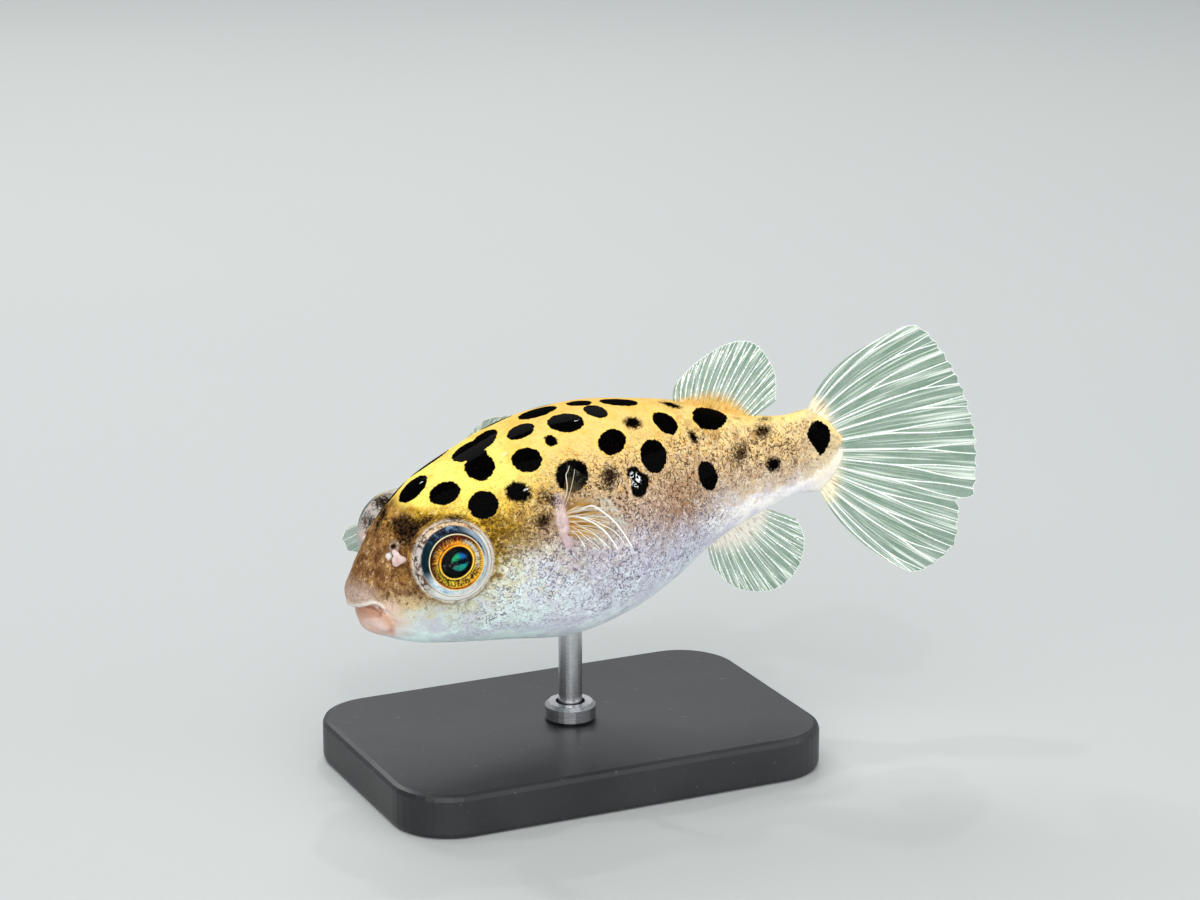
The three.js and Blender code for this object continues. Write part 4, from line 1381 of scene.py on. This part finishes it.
def ray(fin, rng, t_of_r, start, end, thick, thin, bead):
    """One ray: a tapering, jointed tube that wavers a little."""
    length = np.linalg.norm(fin.flat(t_of_r(np.array([end]))[0], end) - fin.flat(t_of_r(np.array([start]))[0], start))
    n = max(8, int(length / RAY_STEP))
    r = np.linspace(start, end, n)
    phase = rng.uniform(0, 6.28, 2)
    waver = WAVER * r * (np.sin(7 * r + phase[0]) + 0.5 * np.sin(15 * r + phase[1]))
    path = fin.at(np.clip(t_of_r(r) + waver, 0.002, 0.998), r)
    s = (r - start) / (end - start)
    radius = thick + (thin - thick) * s
    radius *= 1 + JOINT_RISE * (np.cos(np.arange(n) * 2 * np.pi / 4) > 0.9)
    beads = (rng.uniform(size=n) < bead) & (s > 0.12) & (s < 0.93)
    return ray_tube(path, radius + BEAD_RISE * beads, r)


def fan_of_rays(fin, rng, principals, split, base, thick, thin, bead, notch):
    """The rays of a fin; between its outermost ones each is forked, somewhere in the range of split."""
    parts = []
    width = 1.0 / principals
    for i in range(principals):
        middle = (i + 0.5) * width
        lean = rng.uniform(-0.08, 0.08) * width
        fork = rng.uniform(*split)
        for side in (0,) if i in (0, principals - 1) else (-1, 1):

            def t_of_r(r, side=side, middle=middle, lean=lean, fork=fork):
                return middle + lean * r + side * width * 0.25 * ramp(r, fork, min(fork + 0.42, 1.15))

            start = fork if side == 1 else base
            end = RAY_REACH - float(notch(np.array([t_of_r(np.array([1.0]))[0]]))[0])
            parts.append(ray(fin, rng, t_of_r, start, end, thick + (thin - thick) * 0.7 * start, thin, bead))
    return parts


def drawn_ray(fin, stops, thick, thin, lift):
    """A ray through given places of a fin, (t, r), standing this far off its middle surface at its tip."""
    curve = smooth_curve([(t, r, 0) for t, r in stops])
    share = np.linspace(0, 1, 70)
    t, r, _ = curve(share).T
    path = fin.at(np.clip(t, 0, 1), r, lift * np.sin(np.pi * share * 0.8))
    return ray_tube(path, thick + (thin - thick) * share, r)


# The rays of the left pectoral fin that stand out: places across and along the fin, thickness at root and tip.
LEFT_RAYS = [
    ([(0.10, 0.02), (0.067, 0.28), (0.004, 0.55), (0.016, 0.73), (0.022, 1.0)], 0.055, 0.025),
    ([(0.20, 0.03), (0.13, 0.30), (0.092, 0.57), (0.061, 0.97)], 0.035, 0.015),
    ([(0.38, 0.02), (0.42, 0.255), (0.404, 0.525), (0.466, 0.665), (0.54, 0.766), (0.611, 0.833), (0.659, 0.91),
      (0.689, 0.985)], 0.10, 0.07),
    ([(0.45, 0.02), (0.512, 0.225), (0.583, 0.378), (0.651, 0.504), (0.699, 0.63), (0.743, 0.773), (0.78, 0.985)],
     0.13, 0.06),
    ([(0.48, 0.10), (0.554, 0.391), (0.614, 0.55), (0.643, 0.70), (0.70, 0.88)], 0.06, 0.03),
    ([(0.50, 0.02), (0.563, 0.093), (0.70, 0.267), (0.799, 0.624), (0.819, 0.95)], 0.06, 0.035),
    ([(0.60, 0.02), (0.68, 0.082), (0.893, 0.486), (0.89, 0.95)], 0.055, 0.03),
    ([(0.75, 0.02), (0.83, 0.095), (0.96, 0.5), (0.985, 0.93)], 0.05, 0.03),
]
LEFT_STRIAE = 22


def left_rays(fin, rng):
    parts = [drawn_ray(fin, stops, thick, thin, 0.05) for stops, thick, thin in LEFT_RAYS]
    for _ in range(LEFT_STRIAE):
        t, spread, reach = rng.uniform(0.34, 0.9), rng.uniform(-0.03, 0.10), rng.uniform(0.35, 0.85)
        stops = [(t, 0.02), (t + spread * 0.5, reach * 0.5), (min(t + spread, 0.99), reach)]
        parts.append(drawn_ray(fin, stops, 0.032, 0.014, 0.04))
    return parts


def margin_line(fin, tips, notch):
    """The fine thickened line along a fin's free margin."""
    t = np.linspace(0.01, 0.99, 260)
    line = tube(fin.at(t, free_edge(t, tips, notch)), np.full(len(t), 0.032))
    return line, np.ones(len(line[0]))


def ray_material(name, root_color, root):
    g = Graph(name, Subsurface_Weight=0.2, Subsurface_Scale=0.0004, Coat_Weight=0.3, Coat_Roughness=0.1)
    at = g.scaled(g.object_place(), (1000.0, 1000.0, 1000.0))
    bands, medium = g.noise(at, 3.5, 2), g.noise(at, 0.8, 3)
    color = g.coats(
        g.mix(g.between(medium, 0.35, 0.65), (238, 244, 236), (254, 255, 250)),
        (g.between(bands, 0.6, 0.75, 0.0, 0.5), (212, 212, 190)),
        (g.between(g.attribute("reach"), root[1], root[0]), root_color),
    )
    return g.finish(Base_Color=color, Normal=g.bump(bands, 0.00003, 0.5),
                    Roughness=g.between(bands, 0.3, 0.7, 0.2, 0.4))


def web_material(name, root_color, root, clear, tint=(80, 128, 92), fleshy=0.96, striped=0.34, starts=0.0,
                 strand=4.0, fuzz_along=9.0, line=(158, 116, 58)):
    """A thin clear membrane with fine striae along the rays, and flesh at its root, from root[0] to root[1].

    clear is its least opacity, fleshy that of its root, and striped what the striae add. Before the place across
    the fin named by starts it is nearly invisible.
    """
    g = Graph(name, IOR=1.38, Specular_IOR_Level=0.3, Coat_Weight=0.1, Coat_Roughness=0.08)
    fan, reach = g.vector_attribute("fan"), g.attribute("reach")
    striae = g.noise(g.scaled(fan, (strand, 1.6, 1.0)), 1.0, 2, 0.5)
    fuzz = g.noise(g.scaled(fan, (0.75 * strand, fuzz_along, 1.0)), 1.0, 3, 0.6)
    cloud = g.noise(g.scaled(fan, (0.7, 6.0, 1.0)), 1.0, 3, 0.6)
    flesh = g.between(g.plus(reach, g.centred(striae, 1.2 * (root[1] - root[0]))), root[1], root[0])
    flesh_color = g.coats(
        root_color,
        (g.between(fuzz, 0.52, 0.62, 0.0, 0.8), line),
        (g.between(fuzz, 0.42, 0.34), (252, 244, 216)),
    )
    color = g.mix(flesh, g.mix(g.between(striae, 0.45, 0.68), tint, (226, 236, 224)), flesh_color)
    alpha = g.plus(clear, g.times(g.between(striae, 0.48, 0.72), striped))
    alpha = g.plus(alpha, g.between(cloud, 0.3, 0.7, -0.05, 0.08))
    alpha = g.math("MAXIMUM", alpha, g.times(flesh, fleshy))
    if starts:
        alpha = g.times(alpha, g.between(g.parts(fan)[0], starts - 1.2, starts + 0.6, 0.12, 1.0))
    material = g.finish(Base_Color=color, Alpha=alpha, Normal=g.bump(striae, 0.00005, 0.6),
                        Roughness=g.between(cloud, 0.3, 0.7, 0.18, 0.35))
    material.surface_render_method = "BLENDED"
    return material


FIN_SEED = 11
YELLOW, PALE, CREAM, OCHRE, GOLD = (226, 182, 92), (236, 232, 222), (238, 230, 200), (198, 148, 66), (236, 206, 176)
GOLDEN_WEB = {"tint": (214, 190, 140), "fleshy": 0.85, "striped": 0.25, "starts": 5.4, "strand": 1.5,
              "fuzz_along": 1.2, "line": (96, 60, 24)}
# Of each fin: how many rays; the range in which they fork, where they start, how thick they are at root and tip,
# their share of beads and the notch of the margin; the colour of the rays' roots and where it fades; the same of
# the web, with its name and least opacity; and what else sets the web apart. The left pectoral fin's rays are drawn.
FINS = {
    dorsal: (17, ((0.5, 0.85), 0.1, 0.075, 0.04, 0.32, no_notch), (YELLOW, (0.22, 0.40)),
             ("dorsal_web", YELLOW, (0.22, 0.40), 0.42), {}),
    anal: (15, ((0.45, 0.8), 0.08, 0.075, 0.04, 0.14, no_notch), (PALE, (0.20, 0.44)),
           ("anal_web", PALE, (0.20, 0.44), 0.42), {}),
    caudal: (15, ((0.38, 0.75), 0.03, 0.12, 0.06, 0.02, caudal_notch), (CREAM, (0.15, 0.25)),
             ("caudal_web", CREAM, (0.15, 0.25), 0.42), {}),
    left_pectoral: (9, None, (GOLD, (0.0, 0.4)), ("left_pectoral_web", OCHRE, (0.3, 0.75), 0.06), GOLDEN_WEB),
    right_pectoral: (13, ((0.4, 0.7), 0.0, 0.08, 0.035, 0.02, no_notch), (PALE, (0.05, 0.22)),
                     ("right_pectoral_web", PALE, (0.05, 0.22), 0.36), {}),
}


def make_fins():
    rng = np.random.default_rng(FIN_SEED)
    for fin, (rays, shape, ray_look, web_look, web_extras) in FINS.items():
        tips = 2 * (rays - 1)
        notch = shape[-1] if shape else no_notch
        membrane(fin, tips, notch, web_material(*web_look, **web_extras))
        if shape:
            parts = fan_of_rays(fin, rng, rays, *shape)
            parts.append(margin_line(fin, tips, notch))
        else:
            parts = left_rays(fin, rng)
        points, quads, triangles = joined([part for part, _ in parts])
        make_mesh(fin.name + "_rays", place(points, bent=False), [quads, triangles],
                  ray_material(fin.name + "_ray", *ray_look),
                  {"reach": np.concatenate([reach for _, reach in parts])})


make_fins()


# ---------- stand ----------
def base_material():
    g = Graph("satin_black", IOR=1.45, Coat_Weight=0.08, Coat_Roughness=0.3)
    at = g.object_place()
    dust, haze = g.noise(at, 1400.0, 2, 0.6), g.noise(at, 60.0, 4, 0.6)
    color = g.mix(g.between(haze, 0.35, 0.7), (26, 27, 29), (36, 37, 40))
    color = g.mix(g.between(dust, 0.68, 0.74, 0.0, 0.35), color, (120, 120, 118))
    return g.finish(Base_Color=color, Roughness=g.between(haze, 0.3, 0.7, 0.40, 0.52),
                    Normal=g.bump(dust, 0.00002, 0.35))


def steel_material():
    g = Graph("brushed_steel", Metallic=1.0)
    at = g.object_place()
    brush, cloud = g.noise(g.scaled(at, (0.06, 0.06, 14.0)), 900.0, 3, 0.6), g.noise(at, 120.0, 3)
    color = g.mix(g.between(cloud, 0.3, 0.7), (186, 188, 192), (204, 205, 207))
    return g.finish(Base_Color=color, Roughness=g.between(brush, 0.3, 0.7, 0.22, 0.34),
                    Normal=g.bump(brush, 0.00001, 0.35))


def dress_stand():
    steel = steel_material()
    for node, material in (("stand_base", base_material()), ("stand_rod", steel), ("stand_collar", steel)):
        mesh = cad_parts[node].data
        mesh.materials.clear()
        mesh.materials.append(material)


dress_stand()


# ---------- studio ----------
def area_light(name, place_at, aim, size, watts):
    data = bpy.data.lights.new(name, "AREA")
    data.shape = "RECTANGLE"
    data.size, data.size_y = size
    data.energy = watts
    light = add_object(name, data)
    light.location = place_at
    light.rotation_euler = (Vector(place_at) - Vector(aim)).to_track_quat("Z", "Y").to_euler()


def floor_material():
    g = Graph("floor", Roughness=0.7)
    at = g.object_place()
    color = g.mix(g.between(g.noise(at, 3.0, 3), 0.3, 0.7), (190, 194, 193), (194, 198, 196))
    return g.finish(Base_Color=color, Normal=g.bump(g.noise(at, 900.0, 2), 0.00003, 0.3))


FLOOR_CORNERS = [(-3, -3, 0), (3, -3, 0), (3, 3, 0), (-3, 3, 0)]
AIM = (0, 0, 0.03)
# Place, size and watts of each lamp but the front one.
LAMPS = {
    "key": ((-0.30, -0.42, 0.60), (0.9, 0.9), 3.8),
    "fill": ((0.5, -0.5, 0.25), (0.6, 0.5), 1.4),
    "rim": ((0.1, 0.5, 0.5), (0.5, 0.3), 1.6),
}
# Small lamps high above give the pin-point glints of wet skin.
GLINTS = [(-0.14, 0.50, 0.38), (-0.12, 0.16, 0.62), (0.19, 0.31, 0.56), (-0.13, -0.42, 0.50)]
GLINT_SIZE, GLINT_WATTS = (0.014, 0.014), 0.32
SKY_COLOR, SKY_STRENGTH = (0.94, 0.97, 1.0, 1), 0.40


def make_studio():
    mesh = bpy.data.meshes.new("floor")
    mesh.from_pydata(FLOOR_CORNERS, [], [(0, 1, 2, 3)])
    mesh.materials.append(floor_material())
    floor = add_object("floor", mesh)
    floor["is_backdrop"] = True
    for name, (place_at, size, watts) in LAMPS.items():
        area_light(name, place_at, AIM, size, watts)
    area_light("front", (-0.24, -0.60, 0.08), (0, 0, 0.035), (0.7, 0.16), 1.85)
    for number, place_at in enumerate(GLINTS):
        area_light("glint_%d" % number, place_at, AIM, GLINT_SIZE, GLINT_WATTS)
    world = bpy.data.worlds.new("studio")
    world.use_nodes = True
    sky = world.node_tree.nodes["Background"].inputs
    sky["Color"].default_value, sky["Strength"].default_value = SKY_COLOR, SKY_STRENGTH
    bpy.context.scene.world = world
    bpy.context.scene.view_settings.view_transform = "Standard"


make_studio()

boxes = {"cad": cad_box, "visual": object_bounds()}
{key: [[float(v) for v in corner] for corner in box] for key, box in boxes.items()}
